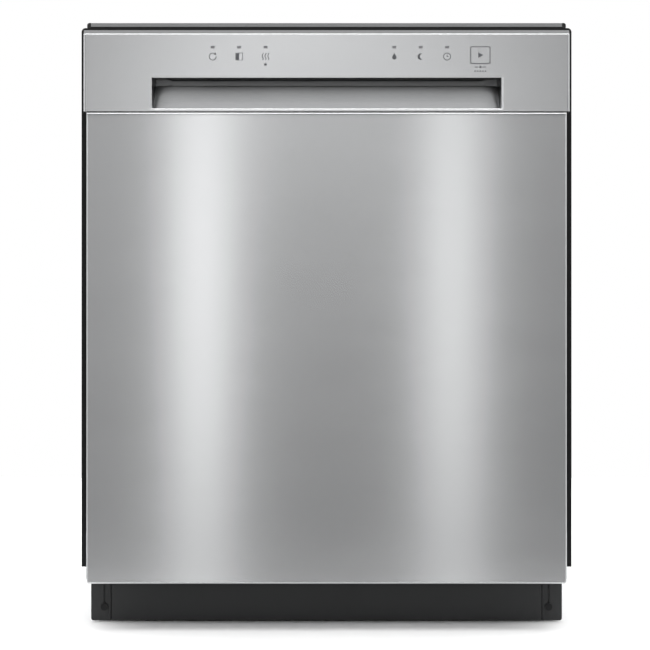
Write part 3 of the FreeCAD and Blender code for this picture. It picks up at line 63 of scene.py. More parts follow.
MM = 0.001
WELD_GAP = 0.01 * MM


# Helpers for colours and shader nodes

def srgb(code):
    """Linear colour from an sRGB hex code."""
    channels = [int(code[i:i + 2], 16) / 255 for i in (1, 3, 5)]
    linear = [c / 12.92 if c <= 0.04045 else ((c + 0.055) / 1.055) ** 2.4 for c in channels]
    return (*linear, 1.0)


def add(tree, kind, inputs=None):
    """Add a shader node with its settings, each a value or a link from another node."""
    made = tree.nodes.new(kind)
    for socket, value in (inputs or {}).items():
        if isinstance(value, bpy.types.NodeSocket):
            tree.links.new(value, made.inputs[socket])
        else:
            made.inputs[socket].default_value = value
    return made


# Kinds of pattern, each a texture node and the output that is read, and two settings for noise
NOISE = ("ShaderNodeTexNoise", "Fac")
CRYSTALS = ("ShaderNodeTexVoronoi", "Color")
DIMPLES = ("ShaderNodeTexVoronoi", "Distance")
SOFT = {"Detail": 2.0}
BUSY = {"Detail": 4.0, "Roughness": 0.7}
# Pattern values between which colour and roughness change
PATTERN_LOW = 0.3
PATTERN_HIGH = 0.7


def even(size):
    """The same pattern size along x, y and z."""
    return (size, size, size)


def finish(name, fine, broad, share, colours, gloss, depth_mm, **shader_inputs):
    """Material whose colour and roughness follow a fine and a broad pattern, and its relief the fine one.

    A pattern is its kind, its size in mm along x, y and z, and its settings. Share is the broad one's
    part. Colours and gloss are the colour and the roughness at the pattern's low and high values.
    """
    material = bpy.data.materials.new(name)
    material.use_nodes = True
    tree = material.node_tree
    tree.nodes.clear()
    constants = {key.replace("_", " "): value for key, value in shader_inputs.items()}
    shader = add(tree, "ShaderNodeBsdfPrincipled", constants)
    add(tree, "ShaderNodeOutputMaterial", {"Surface": shader.outputs["BSDF"]})
    place = add(tree, "ShaderNodeTexCoord").outputs["Object"]
    values = []
    for (kind, output), size_mm, settings in (fine, broad):
        scale = [1 / (MM * size) for size in size_mm]
        space = add(tree, "ShaderNodeMapping", {"Vector": place, "Scale": scale}).outputs["Vector"]
        values.append(add(tree, kind, {"Vector": space, "Scale": 1.0, **settings}).outputs[output])
    blend = add(tree, "ShaderNodeMix", {"Factor": share, "A": values[0], "B": values[1]}).outputs["Result"]
    tint = add(tree, "ShaderNodeValToRGB", {"Fac": blend})
    for stop, position, code in zip(tint.color_ramp.elements, (PATTERN_LOW, PATTERN_HIGH), colours):
        stop.position = position
        stop.color = srgb(code)
    dull = add(tree, "ShaderNodeMapRange", {
        "Value": blend, "From Min": PATTERN_LOW, "From Max": PATTERN_HIGH,
        "To Min": gloss[0], "To Max": gloss[1]})
    bump = add(tree, "ShaderNodeBump", {"Height": values[0], "Distance": depth_mm * MM, "Strength": 1.0})
    tree.links.new(tint.outputs["Color"], shader.inputs["Base Color"])
    tree.links.new(dull.outputs["Result"], shader.inputs["Roughness"])
    tree.links.new(bump.outputs["Normal"], shader.inputs["Normal"])
    return material


# Materials, each named for what the real surface is and how it was made

FINISHES = {
    # Cold-rolled stainless, brushed along its width: hairlines that stretch a highlight upright.
    # The real hairlines are near 0.05 mm and are drawn at 0.35 mm so that they show.
    "brushed_front": finish(
        "brushed_stainless_door",
        fine=(NOISE, (60, 0.35, 0.35), BUSY), broad=(NOISE, (180, 180, 60), SOFT), share=0.25,
        colours=("#C6C7C8", "#D1D2D3"), gloss=(0.226, 0.254), depth_mm=0.0012,
        Metallic=1.0, Anisotropic=0.95, Anisotropic_Rotation=0.25),
    # Same sheet pressed into the handle recess: satin, its hairlines broken by the press.
    "pocket_steel": finish(
        "formed_satin_stainless",
        fine=(NOISE, (9, 0.6, 0.6), SOFT), broad=(NOISE, even(90), SOFT), share=0.5,
        colours=("#98999A", "#A4A5A6"), gloss=(0.34, 0.40), depth_mm=0.003, Metallic=1.0),
    # Deep-drawn stainless inside the door: satin with faint cloudy marks of the press.
    "inner_steel": finish(
        "drawn_satin_stainless",
        fine=(NOISE, (9, 0.6, 0.6), SOFT), broad=(NOISE, even(90), SOFT), share=0.5,
        colours=("#BABCBE", "#CACCCE"), gloss=(0.29, 0.40), depth_mm=0.004, Metallic=1.0, Anisotropic=0.3),
    # Hot-dip zinc on sheet: grey crystal spangles about 8 mm across, dull and uneven.
    "galvanised": finish(
        "hot_dip_zinc_sheet",
        fine=(CRYSTALS, even(8), {}), broad=(NOISE, even(40), BUSY), share=0.45,
        colours=("#8A8D90", "#B4B7BA"), gloss=(0.36, 0.52), depth_mm=0.004, Metallic=1.0),
    # Powder coat on steel: satin black with a fine orange peel of about 1.2 mm.
    "black_paint": finish(
        "black_powder_coat",
        fine=(NOISE, even(1.2), SOFT), broad=(NOISE, even(60), BUSY), share=0.6,
        colours=("#111112", "#161718"), gloss=(0.46, 0.58), depth_mm=0.02, IOR=1.5, Specular_IOR_Level=0.25),
    # Extruded PVC: mid grey, satin, drawn lines along its length.
    "grey_trim": finish(
        "grey_pvc_extrusion",
        fine=(NOISE, (30, 0.5, 0.5), SOFT), broad=(NOISE, even(70), SOFT), share=0.5,
        colours=("#838485", "#8D8E8F"), gloss=(0.40, 0.50), depth_mm=0.01, IOR=1.53),
    # Injection-moulded ABS, spark-eroded skin: near black, fine even grain.
    "black_plastic": finish(
        "black_abs_moulding",
        fine=(NOISE, even(0.6), SOFT), broad=(NOISE, even(70), SOFT), share=0.5,
        colours=("#0D0D0E", "#141415"), gloss=(0.40, 0.52), depth_mm=0.015, IOR=1.54),
    # Injection-moulded talc-filled polypropylene: pale grey tub wall with slow flow marks.
    "tub_plastic": finish(
        "grey_polypropylene_tub",
        fine=(NOISE, even(1.0), SOFT), broad=(NOISE, even(70), SOFT), share=0.5,
        colours=("#A3A6A8", "#B0B3B5"), gloss=(0.34, 0.46), depth_mm=0.015, IOR=1.49),
    # Injection-moulded polypropylene: mid grey, waxy, fine grain.
    "grey_plastic": finish(
        "mid_grey_polypropylene",
        fine=(NOISE, even(0.6), SOFT), broad=(NOISE, even(70), SOFT), share=0.5,
        colours=("#77797C", "#868889"), gloss=(0.36, 0.48), depth_mm=0.015, IOR=1.49),
    # Moulded acetal: blue, smooth, with a slight waxy mottle.
    "cap_blue": finish(
        "blue_acetal_cap",
        fine=(NOISE, even(0.6), SOFT), broad=(NOISE, even(20), SOFT), share=0.5,
        colours=("#1F4E8C", "#2A5C9C"), gloss=(0.24, 0.36), depth_mm=0.01, IOR=1.48),
    # Smoked polycarbonate light bar, unlit: mid grey and smooth, with faint moulding swirls.
    "lens": finish(
        "smoked_polycarbonate_lens",
        fine=(NOISE, even(2.5), SOFT), broad=(NOISE, even(9), SOFT), share=0.4,
        colours=("#77777B", "#8E8E92"), gloss=(0.15, 0.30), depth_mm=0.01, IOR=1.585),
    # Extruded EPDM seal: near black, matt, drawing lines along its length and a dusty bloom.
    "rubber_seal": finish(
        "black_epdm_seal",
        fine=(NOISE, (6, 0.5, 0.5), SOFT), broad=(NOISE, even(25), BUSY), share=0.5,
        colours=("#1B1B1C", "#2C2C2D"), gloss=(0.55, 0.75), depth_mm=0.03, IOR=1.52),
    # Needle-punched fibre mat: charcoal and fuzzy, pale stray fibres, punch dimples 3 mm apart.
    "felt": finish(
        "needled_fibre_felt",
        fine=(NOISE, (1.0, 5.0, 5.0), BUSY), broad=(DIMPLES, even(3), {}), share=0.3,
        colours=("#202124", "#4A4C50"), gloss=(0.85, 0.98), depth_mm=0.6,
        IOR=1.45, Sheen_Weight=0.35, Sheen_Roughness=0.6),
    # Nickel-alloy heater tube after use: dull grey with bronze tempering clouds.
    "heater_sheath": finish(
        "tempered_nickel_sheath",
        fine=(NOISE, even(1.5), SOFT), broad=(NOISE, even(35), BUSY), share=0.6,
        colours=("#5E564C", "#8C8884"), gloss=(0.35, 0.55), depth_mm=0.02, Metallic=1.0),
    # Nylon dipped on steel wire: soft grey coat, slightly uneven where it ran, low gloss.
    "coated_wire": finish(
        "nylon_dipped_wire",
        fine=(NOISE, even(0.8), SOFT), broad=(NOISE, even(14), SOFT), share=0.6,
        colours=("#7C8085", "#9CA0A5"), gloss=(0.32, 0.48), depth_mm=0.03, IOR=1.53),
    # Control panel and key: the same stainless with a shorter, shallower brush mark, so that light spreads
    # evenly. Its hairlines are drawn as coarse as the door's.
    "key_steel": finish(
        "brushed_stainless_fascia",
        fine=(NOISE, (25, 0.35, 0.35), BUSY), broad=(NOISE, (180, 180, 60), SOFT), share=0.25,
        colours=("#C4C5C6", "#C8C9CA"), gloss=(0.25, 0.27), depth_mm=0.0001, Metallic=1.0),
}
# Screen-printed ink: dark grey, matt, a little broken where the mesh left it thin.
INK = finish(
    "grey_screen_ink",
    fine=(NOISE, even(0.5), SOFT), broad=(NOISE, even(4), SOFT), share=0.4,
    colours=("#505155", "#626367"), gloss=(0.50, 0.70), depth_mm=0.005, IOR=1.5)
# Plinth powder coat: a coarser, slightly paler texture coat than the frame's.
PLINTH_PAINT = finish(
    "black_texture_coat",
    fine=(NOISE, even(1.6), SOFT), broad=(NOISE, even(60), BUSY), share=0.6,
    colours=("#1C1D1E", "#242526"), gloss=(0.50, 0.62), depth_mm=0.03, IOR=1.5)
# Emulsion on a studio floor: almost white, faintly mottled, no gloss to speak of.
FLOOR_PAINT = finish(
    "pale_painted_floor",
    fine=(NOISE, even(30), SOFT), broad=(NOISE, even(400), SOFT), share=0.7,
    colours=("#F2F2F2", "#F6F6F6"), gloss=(0.80, 0.90), depth_mm=0.02, IOR=1.45)

for subpart in frame["record"]["subparts"]:
    piece = nodes[subpart["node"]]
    piece.data.materials.clear()
    piece.data.materials.append(FINISHES[subpart["material_slot"]])
nodes["control_fascia"].data.materials[0] = FINISHES["key_steel"]
for name in ("toe_kick_panel", "toe_kick_brackets"):
    nodes[name].data.materials[0] = PLINTH_PAINT


# Folded and moulded edges

EDGE_RADIUS = 0.5 * MM
EDGE_ANGLE = math.radians(40)
EDGE_STEPS = 3
# The control panel's top bevel is a shallow fold, which the usual least angle would leave sharp
FASCIA_RADIUS = 0.6 * MM
FASCIA_ANGLE = math.radians(20)


def soften(name, radius, least_angle):
    """Round the sharp edges of a carried-over piece, as its folds or its mould leave them."""
    piece = nodes[name]
    weld = piece.modifiers.new("weld", "WELD")
    weld.merge_threshold = WELD_GAP
    bevel = piece.modifiers.new("edge", "BEVEL")
    bevel.width = radius
    bevel.segments = EDGE_STEPS
    bevel.limit_method = "ANGLE"
    bevel.angle_limit = least_angle
    bevel.harden_normals = True


for name in ("door_panel", "front_frame", "top_trim_strip", "toe_kick_panel", "toe_kick_brackets"):
    soften(name, EDGE_RADIUS, EDGE_ANGLE)
soften("control_fascia", FASCIA_RADIUS, FASCIA_ANGLE)


# New pieces

FOLD_ANGLE = math.radians(30)


def place_piece(name, mesh, material, body):
    """Put a mesh in the scene as a piece that moves with a body."""
    piece = bpy.data.objects.new(name, mesh)
    bpy.context.scene.collection.objects.link(piece)
    mesh.materials.append(material)
    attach(piece, body)
    return piece


def pressed_sheet(name, rows, thickness, material, body):
    """Smooth sheet through rows of points, with its wall added behind."""
    mesh = bpy.data.meshes.new(name)
    across = len(rows[0])
    faces = []
    for row in range(len(rows) - 1):
        for column in range(across - 1):
            corner = row * across + column
            faces.append((corner, corner + 1, corner + 1 + across, corner + across))
    mesh.from_pydata([point for row in rows for point in row], [], faces)
    mesh.shade_smooth()
    # Folds and the sheet's own rim stay crisp, so that the wall does not turn the shading at its ends
    form = bmesh.new()
    form.from_mesh(mesh)
    for edge in form.edges:
        edge.smooth = not edge.is_boundary and edge.calc_face_angle() < FOLD_ANGLE
    form.to_mesh(mesh)
    form.free()
    piece = place_piece(name, mesh, material, body)
    wall = piece.modifiers.new("wall", "SOLIDIFY")
    wall.thickness = thickness
    wall.offset = -1.0
    return piece


# Handle recess: a satin scoop that leans back from its lip, and a shaded finger channel above it

LIP_TILT = math.radians(14.5)
SCOOP_TILT = math.radians(25)
SCOOP_STEPS = 12
SCOOP_HEIGHT = 29.5 * MM
CHANNEL_DEPTH = 37.0 * MM
PRESS_CORNER = 1.5 * MM
POCKET_WALL = 1.0 * MM
# At each end a wall leans in to a corner that is deeper than the scoop and rises to it over a quarter turn
END_WALL = 3.8 * MM
END_SHARE = 1.4
END_FLOOR = 3.0 * MM
END_BLEND = 24.0 * MM
END_STEPS = 10

pocket_low, pocket_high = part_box("handle_pocket")
pocket_half = pocket_high[0]
pocket_mouth = pocket_low[1]


def scoop_profile():
    """Depth and height of the scoop from its lip up, on an arc that rolls back towards the channel."""
    radius = SCOOP_HEIGHT / (math.sin(SCOOP_TILT) - math.sin(LIP_TILT))
    profile = [(0, pocket_low[2])]
    for step in range(SCOOP_STEPS + 1):
        tilt = LIP_TILT + (SCOOP_TILT - LIP_TILT) * step / SCOOP_STEPS
        depth = PRESS_CORNER + radius * (math.cos(LIP_TILT) - math.cos(tilt))
        height = pocket_low[2] + PRESS_CORNER + radius * (math.sin(tilt) - math.sin(LIP_TILT))
        profile.append((depth, height))
    return profile


def channel_profile(scoop_top):
    """Depth and height of the finger channel, from the scoop's top edge round to the mouth."""
    ledge = scoop_top[1]
    roof = pocket_high[2]
    near_back = CHANNEL_DEPTH - PRESS_CORNER
    return [scoop_top, (near_back, ledge), (CHANNEL_DEPTH, ledge + PRESS_CORNER),
            (CHANNEL_DEPTH, roof - PRESS_CORNER), (near_back, roof), (0, roof)]


def pocket_rows(profile):
    """Rows of points along the pocket, with a leaning wall and a soft corner at each end."""
    left = [(-pocket_half, 0, 0)]
    for step in range(END_STEPS + 1):
        turn = math.pi / 2 * step / END_STEPS
        inset = END_WALL + END_BLEND * (1 - math.cos(turn))
        share = END_SHARE + (1 - END_SHARE) * math.sin(turn)
        extra = END_FLOOR * (1 - math.sin(turn))
        left.append((inset - pocket_half, share, extra))
    right = [(-x, share, extra) for x, share, extra in reversed(left)]
    rows = []
    for depth, height in profile:
        row = []
        for x, share, extra in left + right:
            back = min(depth * share + extra, CHANNEL_DEPTH)
            row.append((x, pocket_mouth + back, height))
        rows.append(row)
    return rows


scoop = scoop_profile()
pocket_scoop = pressed_sheet("pocket_scoop", pocket_rows(scoop), POCKET_WALL, FINISHES["pocket_steel"],
                             "door")
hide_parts("handle_pocket")
pressed_sheet("pocket_channel", pocket_rows(channel_profile(scoop[-1])), POCKET_WALL,
              FINISHES["pocket_steel"], "door")


# Thin trims along the door's front edges

PROUD = 0.05 * MM
TRIM_WALL = 0.2 * MM
SIDE_WIDTH = 1.3 * MM
SIDE_PROUD = 0.7 * MM
CHAMFER_RISE = 1.4 * MM
CHAMFER_TILT = math.radians(14)
# The control panel's own bevel along its top edge
BEVEL_RISE = 6.0 * MM
BEVEL_DEPTH = 3.0 * MM

fascia_low, fascia_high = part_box("control_fascia")
panel_low, panel_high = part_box("door_panel")
fascia_front = fascia_low[1]
bevel_low = fascia_high[2] - BEVEL_RISE


def along_x(profile, half_length):
    """Rows of a straight trim that runs along x, from the y and z of its profile."""
    return [[(-half_length, y, z), (half_length, y, z)] for y, z in profile]


def side_chamfer(name, edge, inward, low, high):
    """Narrow upright chamfer on a side edge, turned outwards to catch the light from that side.

    Inward is the way along x from the edge to the chamfer's inner side, 1 or -1.
    """
    inner = edge + inward * SIDE_WIDTH
    outer = edge - inward * PROUD
    profile = [(inner, fascia_front), (inner, fascia_front - SIDE_PROUD), (outer, fascia_front - PROUD),
               (outer, fascia_front + SIDE_PROUD)]
    # The order of the rows turns the sheet's face to the front on either side
    rows = [[(x, y, low), (x, y, high)] for x, y in profile[::inward]]
    pressed_sheet(name, rows, TRIM_WALL, FINISHES["key_steel"], "door")


def bright_chamfer(name, half_length, front, low, fold):
    """Narrow chamfer along x, laid back just enough to catch the light from above."""
    lean = CHAMFER_RISE * math.tan(CHAMFER_TILT)
    high = low + CHAMFER_RISE
    profile = [(front + fold, low), (front, low), (front + lean, high), (front + lean + fold, high)]
    rows = along_x(profile, half_length)
    pressed_sheet(name, rows, TRIM_WALL, FINISHES["key_steel"], "door")


def shade_band(name, half_length, front, low, high, fold, body):
    """Thin flat black band along x with its top and bottom folded back into what carries it, as painted
    shade that stands in for a shaded gap.
    """
    profile = [(front + fold, low), (front, low), (front, high), (front + fold, high)]
    rows = along_x(profile, half_length)
    pressed_sheet(name, rows, TRIM_WALL, FINISHES["black_paint"], body)


# Hem along the top of the door panel
HEM_INSET = 1.0 * MM
HEM_FORWARD = 3.0 * MM
HEM_DROP = 0.6 * MM
bright_chamfer("panel_top_hem", panel_high[0] - HEM_INSET, panel_low[1] - HEM_FORWARD,
               panel_high[2] - HEM_DROP - CHAMFER_RISE, HEM_FORWARD)

# Lip under the handle recess, hems at the control panel's two sides and a lip at the recess's right end
LIP_INSET = 1.0 * MM
LIP_FORWARD = 0.3 * MM
LIP_RISE = 0.6 * MM
LIP_FOLD = 1.4 * MM
RIGHT_LIP_OUT = 0.3 * MM
lip_low = pocket_low[2] + LIP_RISE
bright_chamfer("pocket_lip", pocket_half - LIP_INSET, fascia_front - LIP_FORWARD, lip_low, LIP_FOLD)
side_chamfer("fascia_left_hem", fascia_low[0], 1, fascia_low[2], bevel_low)
side_chamfer("fascia_right_hem", fascia_high[0], -1, fascia_low[2], bevel_low)
side_chamfer("pocket_right_lip", pocket_half + RIGHT_LIP_OUT, -1, lip_low, pocket_high[2])

# Rolled crown over the control panel's bevel, with a bright line along its foot
CROWN_SPREAD = math.radians(5)
CROWN_STEPS = 8
CROWN_WALL = 0.3 * MM
CROWN_LINE_FORWARD = 0.35 * MM
CROWN_LINE_DROP = 1.2 * MM
CROWN_LINE_FOLD = 1.0 * MM
crown_half = fascia_high[0] - PROUD
crown_radius = math.hypot(BEVEL_DEPTH, BEVEL_RISE) / (2 * math.sin(CROWN_SPREAD))
crown_middle = math.atan2(BEVEL_DEPTH, BEVEL_RISE)
crown_start = crown_middle - CROWN_SPREAD
crown = []
for step in range(CROWN_STEPS + 1):
    tilt = crown_middle + CROWN_SPREAD * (2 * step / CROWN_STEPS - 1)
    back = crown_radius * (math.cos(crown_start) - math.cos(tilt))
    rise = crown_radius * (math.sin(tilt) - math.sin(crown_start))
    crown.append((fascia_front + back - PROUD, bevel_low + rise))
pressed_sheet("fascia_crown", along_x(crown, crown_half), CROWN_WALL, FINISHES["key_steel"],
              "door")
bright_chamfer("crown_line", crown_half, fascia_front - CROWN_LINE_FORWARD, bevel_low - CROWN_LINE_DROP,
               CROWN_LINE_FOLD)

# Black bands of painted shade along the crown's top and along the foot of the trim strip, where the gaps
# there lie in shade
CROWN_SHADE_FORWARD = 1.1 * MM
CROWN_SHADE_DROP = 1.3 * MM
CROWN_SHADE_RISE = 0.2 * MM
CROWN_SHADE_FOLD = 2.0 * MM
# Painted shade: a black band over the top of the crown stands in for the shaded gap above the control panel
shade_band("fascia_top_shade_band", crown_half, fascia_front + BEVEL_DEPTH - CROWN_SHADE_FORWARD,
           fascia_high[2] - CROWN_SHADE_DROP, fascia_high[2] + CROWN_SHADE_RISE, CROWN_SHADE_FOLD, "door")
# Painted shade: a black band over the lower front of the trim strip stands in for the shaded gap between the
# strip and the frame
TRIM_SHADE_FORWARD = 0.4 * MM
TRIM_SHADE_HEIGHT = 3.2 * MM
TRIM_SHADE_FOLD = 1.0 * MM
strip_low, strip_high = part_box("top_trim_strip")
shade_band("trim_shade_band", strip_high[0], strip_low[1] - TRIM_SHADE_FORWARD, strip_low[2],
           strip_low[2] + TRIM_SHADE_HEIGHT, TRIM_SHADE_FOLD, "cabinet")


# Generic marks printed on the control panel and its key, with all sizes in mm

INK_DEPTH = 0.1
LINE = 0.9
THIN_LINE = 0.7
FINE_LINE = 0.5
ICON = 4.2
MARK_DROP = 33.7
LAMP_PITCH = 31.8
LEFT_LAMP = -137.2
RIGHT_LAMP = 81.6


def arc(radius, start, end, middle=(0, 0), steps=24):
    """Points on an arc, from one angle to another in degrees."""
    turns = [math.radians(start + (end - start) * step / steps) for step in range(steps + 1)]
    return [(middle[0] + radius * math.cos(turn), middle[1] + radius * math.sin(turn)) for turn in turns]


def circle(radius, sides, middle=(0, 0)):
    """Corners of a regular outline, each named once."""
    return arc(radius, 0, 360 * (sides - 1) / sides, middle=middle, steps=sides - 1)


def block(left, low, right, high):
    """Corners of a rectangle."""
    return [(left, low), (right, low), (right, high), (left, high)]


def ribbon(points, width, closed=False):
    """Four-sided patches of a line of even width through points."""
    count = len(points)
    sides = []
    for i, point in enumerate(points):
        before = points[i - 1] if closed or i > 0 else point
        after = points[(i + 1) % count] if closed or i < count - 1 else point
        along = (Vector(after) - Vector(before)).normalized()
        across = Vector((-along.y, along.x)) * width / 2
        sides.append((Vector(point) + across, Vector(point) - across))
    patches = []
    for i in range(count if closed else count - 1):
        (first, second), (third, fourth) = sides[i], sides[(i + 1) % count]
        patches.append((first, second, fourth, third))
    return patches


def printed(name, shapes, x_mm, z_mm, face, body):
    """Ink layer on a flat front, from outlines about the mark's middle."""
    form = bmesh.new()
    for outline in shapes:
        corners = [form.verts.new(((x_mm + x) * MM, face - INK_DEPTH * MM / 2, (z_mm + z) * MM))
                   for x, z in outline]
        form.faces.new(corners)
    bmesh.ops.remove_doubles(form, verts=form.verts, dist=WELD_GAP)
    mesh = bpy.data.meshes.new(name)
    form.to_mesh(mesh)
    form.free()
    piece = place_piece(name, mesh, INK, body)
    layer = piece.modifiers.new("layer", "SOLIDIFY")
    layer.thickness = INK_DEPTH * MM
    layer.offset = 0


def loop_arrow():
    """Open ring with an arrow head."""
    head_turn = math.radians(60)
    head_half = 1.7
    head_length = 2.8
    foot = Vector((ICON * math.cos(head_turn), ICON * math.sin(head_turn)))
    out = foot.normalized() * head_half
    along = Vector((out.y, -out.x)).normalized() * head_length
    ring = ribbon(arc(ICON, 70, 360), LINE)
    return ring + [[foot + out, foot - out, foot + along]]


def half_filled_square():
    """Square outline, its left half filled."""
    outline = ribbon(block(-ICON, -ICON, ICON, ICON), LINE, closed=True)
    inside = ICON - LINE / 2
    return outline + [block(-inside, -inside, 0, inside)]


def heat_waves():
    """Three rising waves, with a small padlock below."""
    spacing = 3.4
    sway = 0.7
    steps = 8
    shapes = []
    for x in (-spacing, 0, spacing):
        wave = [(x + sway * math.sin(step), ICON * (2 * step / steps - 1)) for step in range(steps + 1)]
        shapes += ribbon(wave, LINE)
    lock_top = -8.7
    lock_height = 2.0
    lock_half = 1.5
    shackle = 0.9
    shapes.append(block(-lock_half, lock_top - lock_height, lock_half, lock_top))
    return shapes + ribbon(arc(shackle, 0, 180, middle=(0, lock_top), steps=8), FINE_LINE)


def water_drop():
    """Drop with its point up."""
    radius = 2.6
    belly = (0, -1.0)
    point = (0, 4.4)
    return [arc(radius, 155, 385, middle=belly) + [point]]


def crescent():
    """Waning moon, its hollow an arc between the two tips."""
    radius = 3.8
    tip_turn = 55
    hollow = Vector((2.0, 0))
    outer = arc(radius, tip_turn, 360 - tip_turn)
    reach = Vector(outer[0]) - hollow
    hollow_turn = math.degrees(math.atan2(reach.y, reach.x))
    inner = arc(reach.length, 360 - hollow_turn, hollow_turn, middle=hollow)
    return [outer + inner[1:-1]]


def clock_face():
    """Ring with two hands."""
    long_hand = 2.2
    short_hand = 1.8
    ring = ribbon(circle(ICON, 24), LINE, closed=True)
    return ring + ribbon([(0, long_hand), (0, 0)], THIN_LINE) + ribbon([(0, 0), (short_hand, 0)], THIN_LINE)


mark_z = fascia_high[2] / MM - MARK_DROP
left_marks = (loop_arrow(), half_filled_square(), heat_waves())
right_marks = (water_drop(), crescent(), clock_face())
for side, first, marks in (("left", LEFT_LAMP, left_marks), ("right", RIGHT_LAMP, right_marks)):
    for number, shapes in enumerate(marks):
        mark_x = first + number * LAMP_PITCH
        printed(f"{side}_mark_{number + 1}", shapes, mark_x, mark_z, fascia_front, "door")

# Frame and triangle on the start key
FRAME_INSET = 0.6
FRAME_CORNER = 2.0
TRIANGLE = [(-2.6, 3.3), (-2.6, -3.3), (3.4, 0)]
key_low, key_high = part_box("start_button")
key_x = (key_low[0] + key_high[0]) / 2 / MM
key_z = (key_low[2] + key_high[2]) / 2 / MM
frame_half = (key_high[0] - key_low[0]) / 2 / MM - FRAME_INSET
frame_rise = (key_high[2] - key_low[2]) / 2 / MM - FRAME_INSET
key_frame = []
for right, up, start in ((1, 1, 0), (-1, 1, 90), (-1, -1, 180), (1, -1, 270)):
    middle = (right * (frame_half - FRAME_CORNER), up * (frame_rise - FRAME_CORNER))
    key_frame += arc(FRAME_CORNER, start, start + 90, middle=middle, steps=6)
key_shapes = ribbon(key_frame, THIN_LINE, closed=True) + [TRIANGLE]
printed("key_mark", key_shapes, key_x, key_z, key_low[1], "start_key")

# Under the key, a square between two dashes, and below it a row of dots
STOP_DROP = 3.8
STOP_HALF = 1.2
DASH_START = 2.6
DASH_END = 6.4
DASH_HALF = 0.5
HOLD_DROP = 8.7
DOT_RADIUS = 0.9
DOT_PITCH = 3.2
stop_shapes = [block(-DASH_END, -DASH_HALF, -DASH_START, DASH_HALF),
               block(-STOP_HALF, -STOP_HALF, STOP_HALF, STOP_HALF),
               block(DASH_START, -DASH_HALF, DASH_END, DASH_HALF)]
dots = [circle(DOT_RADIUS, 8, middle=(number * DOT_PITCH, 0)) for number in range(-2, 3)]
printed("stop_mark", stop_shapes, key_x, key_low[2] / MM - STOP_DROP, fascia_front, "door")
printed("hold_mark", dots, key_x, key_low[2] / MM - HOLD_DROP, fascia_front, "door")


# Studio: floor, soft boxes, surroundings and camera, in metres

FLOOR_HALF = 2.0
FLOOR_FRONT = -0.45
FLOOR_REAR = 2.0

floor_mesh = bpy.data.meshes.new("floor")
floor_corners = [(-FLOOR_HALF, FLOOR_FRONT, 0), (FLOOR_HALF, FLOOR_FRONT, 0),
                 (FLOOR_HALF, FLOOR_REAR, 0), (-FLOOR_HALF, FLOOR_REAR, 0)]
floor_mesh.from_pydata(floor_corners, [], [(0, 1, 2, 3)])
floor = bpy.data.objects.new("floor", floor_mesh)
bpy.context.scene.collection.objects.link(floor)
floor_mesh.materials.append(FLOOR_PAINT)


def soft_box(name, place, aim, width, height, watts, mirrored=True):
    """Rectangular studio light that faces a point, and that steel may mirror or not."""
    light = bpy.data.lights.new(name, "AREA")
    light.shape = "RECTANGLE"
    light.size = width
    light.size_y = height
    light.energy = watts
    lamp = bpy.data.objects.new(name, light)
    lamp.location = place
    lamp.rotation_euler = (Vector(aim) - Vector(place)).to_track_quat("-Z", "Y").to_euler()
    lamp.visible_camera = False
    lamp.visible_glossy = mirrored
    bpy.context.scene.collection.objects.link(lamp)


LIGHTS_Y = -3.0
BAND_X = 0.33
BAND_Z = 0.5
LEFT_FILL_X = -0.72
LEFT_FILL_Z = 0.7
PANEL_BAR_X = -0.08
PANEL_BAR_Z = 1.15
OVERHEAD_Y = 0.9
RIM_X = 2.34
FLOOR_FILL_X = 1.8
# Two upright strips, which the brushed door draws out into its bright bands
soft_box("left_strip", place=(-BAND_X, LIGHTS_Y, BAND_Z), aim=(-BAND_X, 0, BAND_Z),
         width=0.14, height=1.4, watts=1.38)
soft_box("right_strip", place=(BAND_X, LIGHTS_Y, BAND_Z), aim=(BAND_X, 0, BAND_Z),
         width=0.14, height=1.4, watts=1.15)
# A weak fill for the door's left side, and a bar for the middle of the control panel
soft_box("left_fill", place=(LEFT_FILL_X, LIGHTS_Y, LEFT_FILL_Z), aim=(LEFT_FILL_X, 0, LEFT_FILL_Z),
         width=0.4, height=1.4, watts=0.2)
soft_box("panel_bar", place=(PANEL_BAR_X, LIGHTS_Y, PANEL_BAR_Z), aim=(PANEL_BAR_X, 0, PANEL_BAR_Z),
         width=0.5, height=0.2, watts=0.75)
# A high bar that the chamfers and the crown mirror, and two lights that only brighten what they fall on
soft_box("edge_bar", place=(0, LIGHTS_Y, 2.6), aim=(0, -0.3, 0.7), width=2.4, height=0.3, watts=11)
soft_box("overhead", place=(0, OVERHEAD_Y, 3.0), aim=(0, OVERHEAD_Y, 0),
         width=3.6, height=3.0, watts=105, mirrored=False)
soft_box("shadow_fill", place=(0, -1.5, 1.2), aim=(0, -0.36, 0),
         width=1.6, height=0.4, watts=5, mirrored=False)
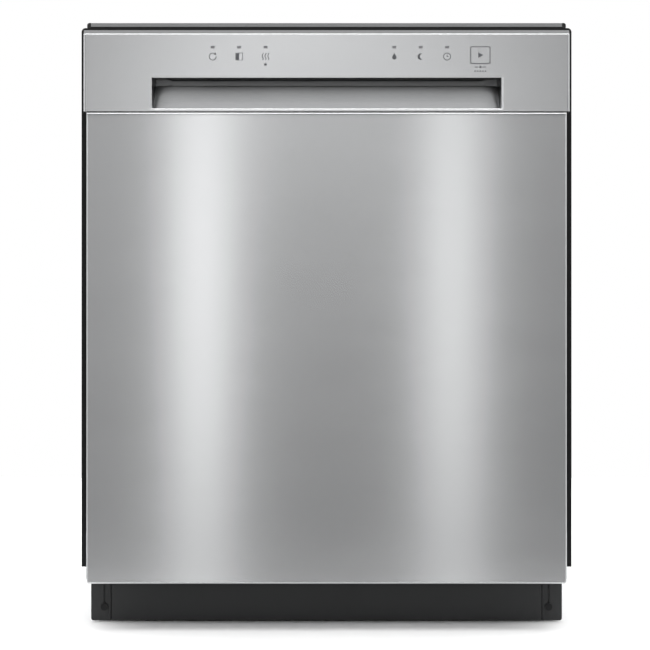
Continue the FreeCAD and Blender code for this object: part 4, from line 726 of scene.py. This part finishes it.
# At each side a low light for the upright hems, and a high one for the floor
for side, way in (("left", -1), ("right", 1)):
    soft_box(f"{side}_rim", place=(way * RIM_X, -1.6, 0.5), aim=(0, -0.3, 0.5),
             width=0.5, height=1.6, watts=3.5)
    soft_box(f"{side}_floor_fill", place=(way * FLOOR_FILL_X, -1.0, 2.2), aim=(0, -0.4, 0),
             width=1.2, height=1.2, watts=16)

# The room in front lights dimly, and less from below; behind the machine, and as a backdrop, it is white
WHITE = 1.0
FRONT_LEVEL = 0.47
BELOW_LEVEL = 0.12
world = bpy.data.worlds.new("studio")
bpy.context.scene.world = world
world.use_nodes = True
sky = world.node_tree
sky.nodes.clear()
axes = add(sky, "ShaderNodeSeparateXYZ", {"Vector": add(sky, "ShaderNodeTexCoord").outputs["Generated"]})
front = add(sky, "ShaderNodeMapRange", {
    "Value": axes.outputs["Z"], "From Min": -0.26, "From Max": 0.05,
    "To Min": BELOW_LEVEL, "To Max": FRONT_LEVEL}).outputs["Result"]
behind = add(sky, "ShaderNodeMapRange", {
    "Value": axes.outputs["Y"], "From Min": -0.36, "From Max": -0.06}).outputs["Result"]
room = add(sky, "ShaderNodeMix", {"Factor": behind, "A": front, "B": WHITE}).outputs["Result"]
seen = add(sky, "ShaderNodeLightPath").outputs["Is Camera Ray"]
level = add(sky, "ShaderNodeMix", {"Factor": seen, "A": room, "B": WHITE}).outputs["Result"]
glow = add(sky, "ShaderNodeBackground", {"Color": (1, 1, 1, 1), "Strength": level})
add(sky, "ShaderNodeOutputWorld", {"Surface": glow.outputs["Background"]})

CAMERA_X = -0.0019
CAMERA_AWAY = 2.2994
CAMERA_Z = 0.3695
CAMERA_LENS = 105.7
lens = bpy.data.cameras.new("camera")
lens.lens = CAMERA_LENS
camera = bpy.data.objects.new("camera", lens)
camera.location = (CAMERA_X, cad_box[0][1] - CAMERA_AWAY, CAMERA_Z)
camera.rotation_euler = (math.pi / 2, 0, 0)
bpy.context.scene.collection.objects.link(camera)
bpy.context.scene.camera = camera
bpy.context.scene.view_settings.view_transform = "Standard"
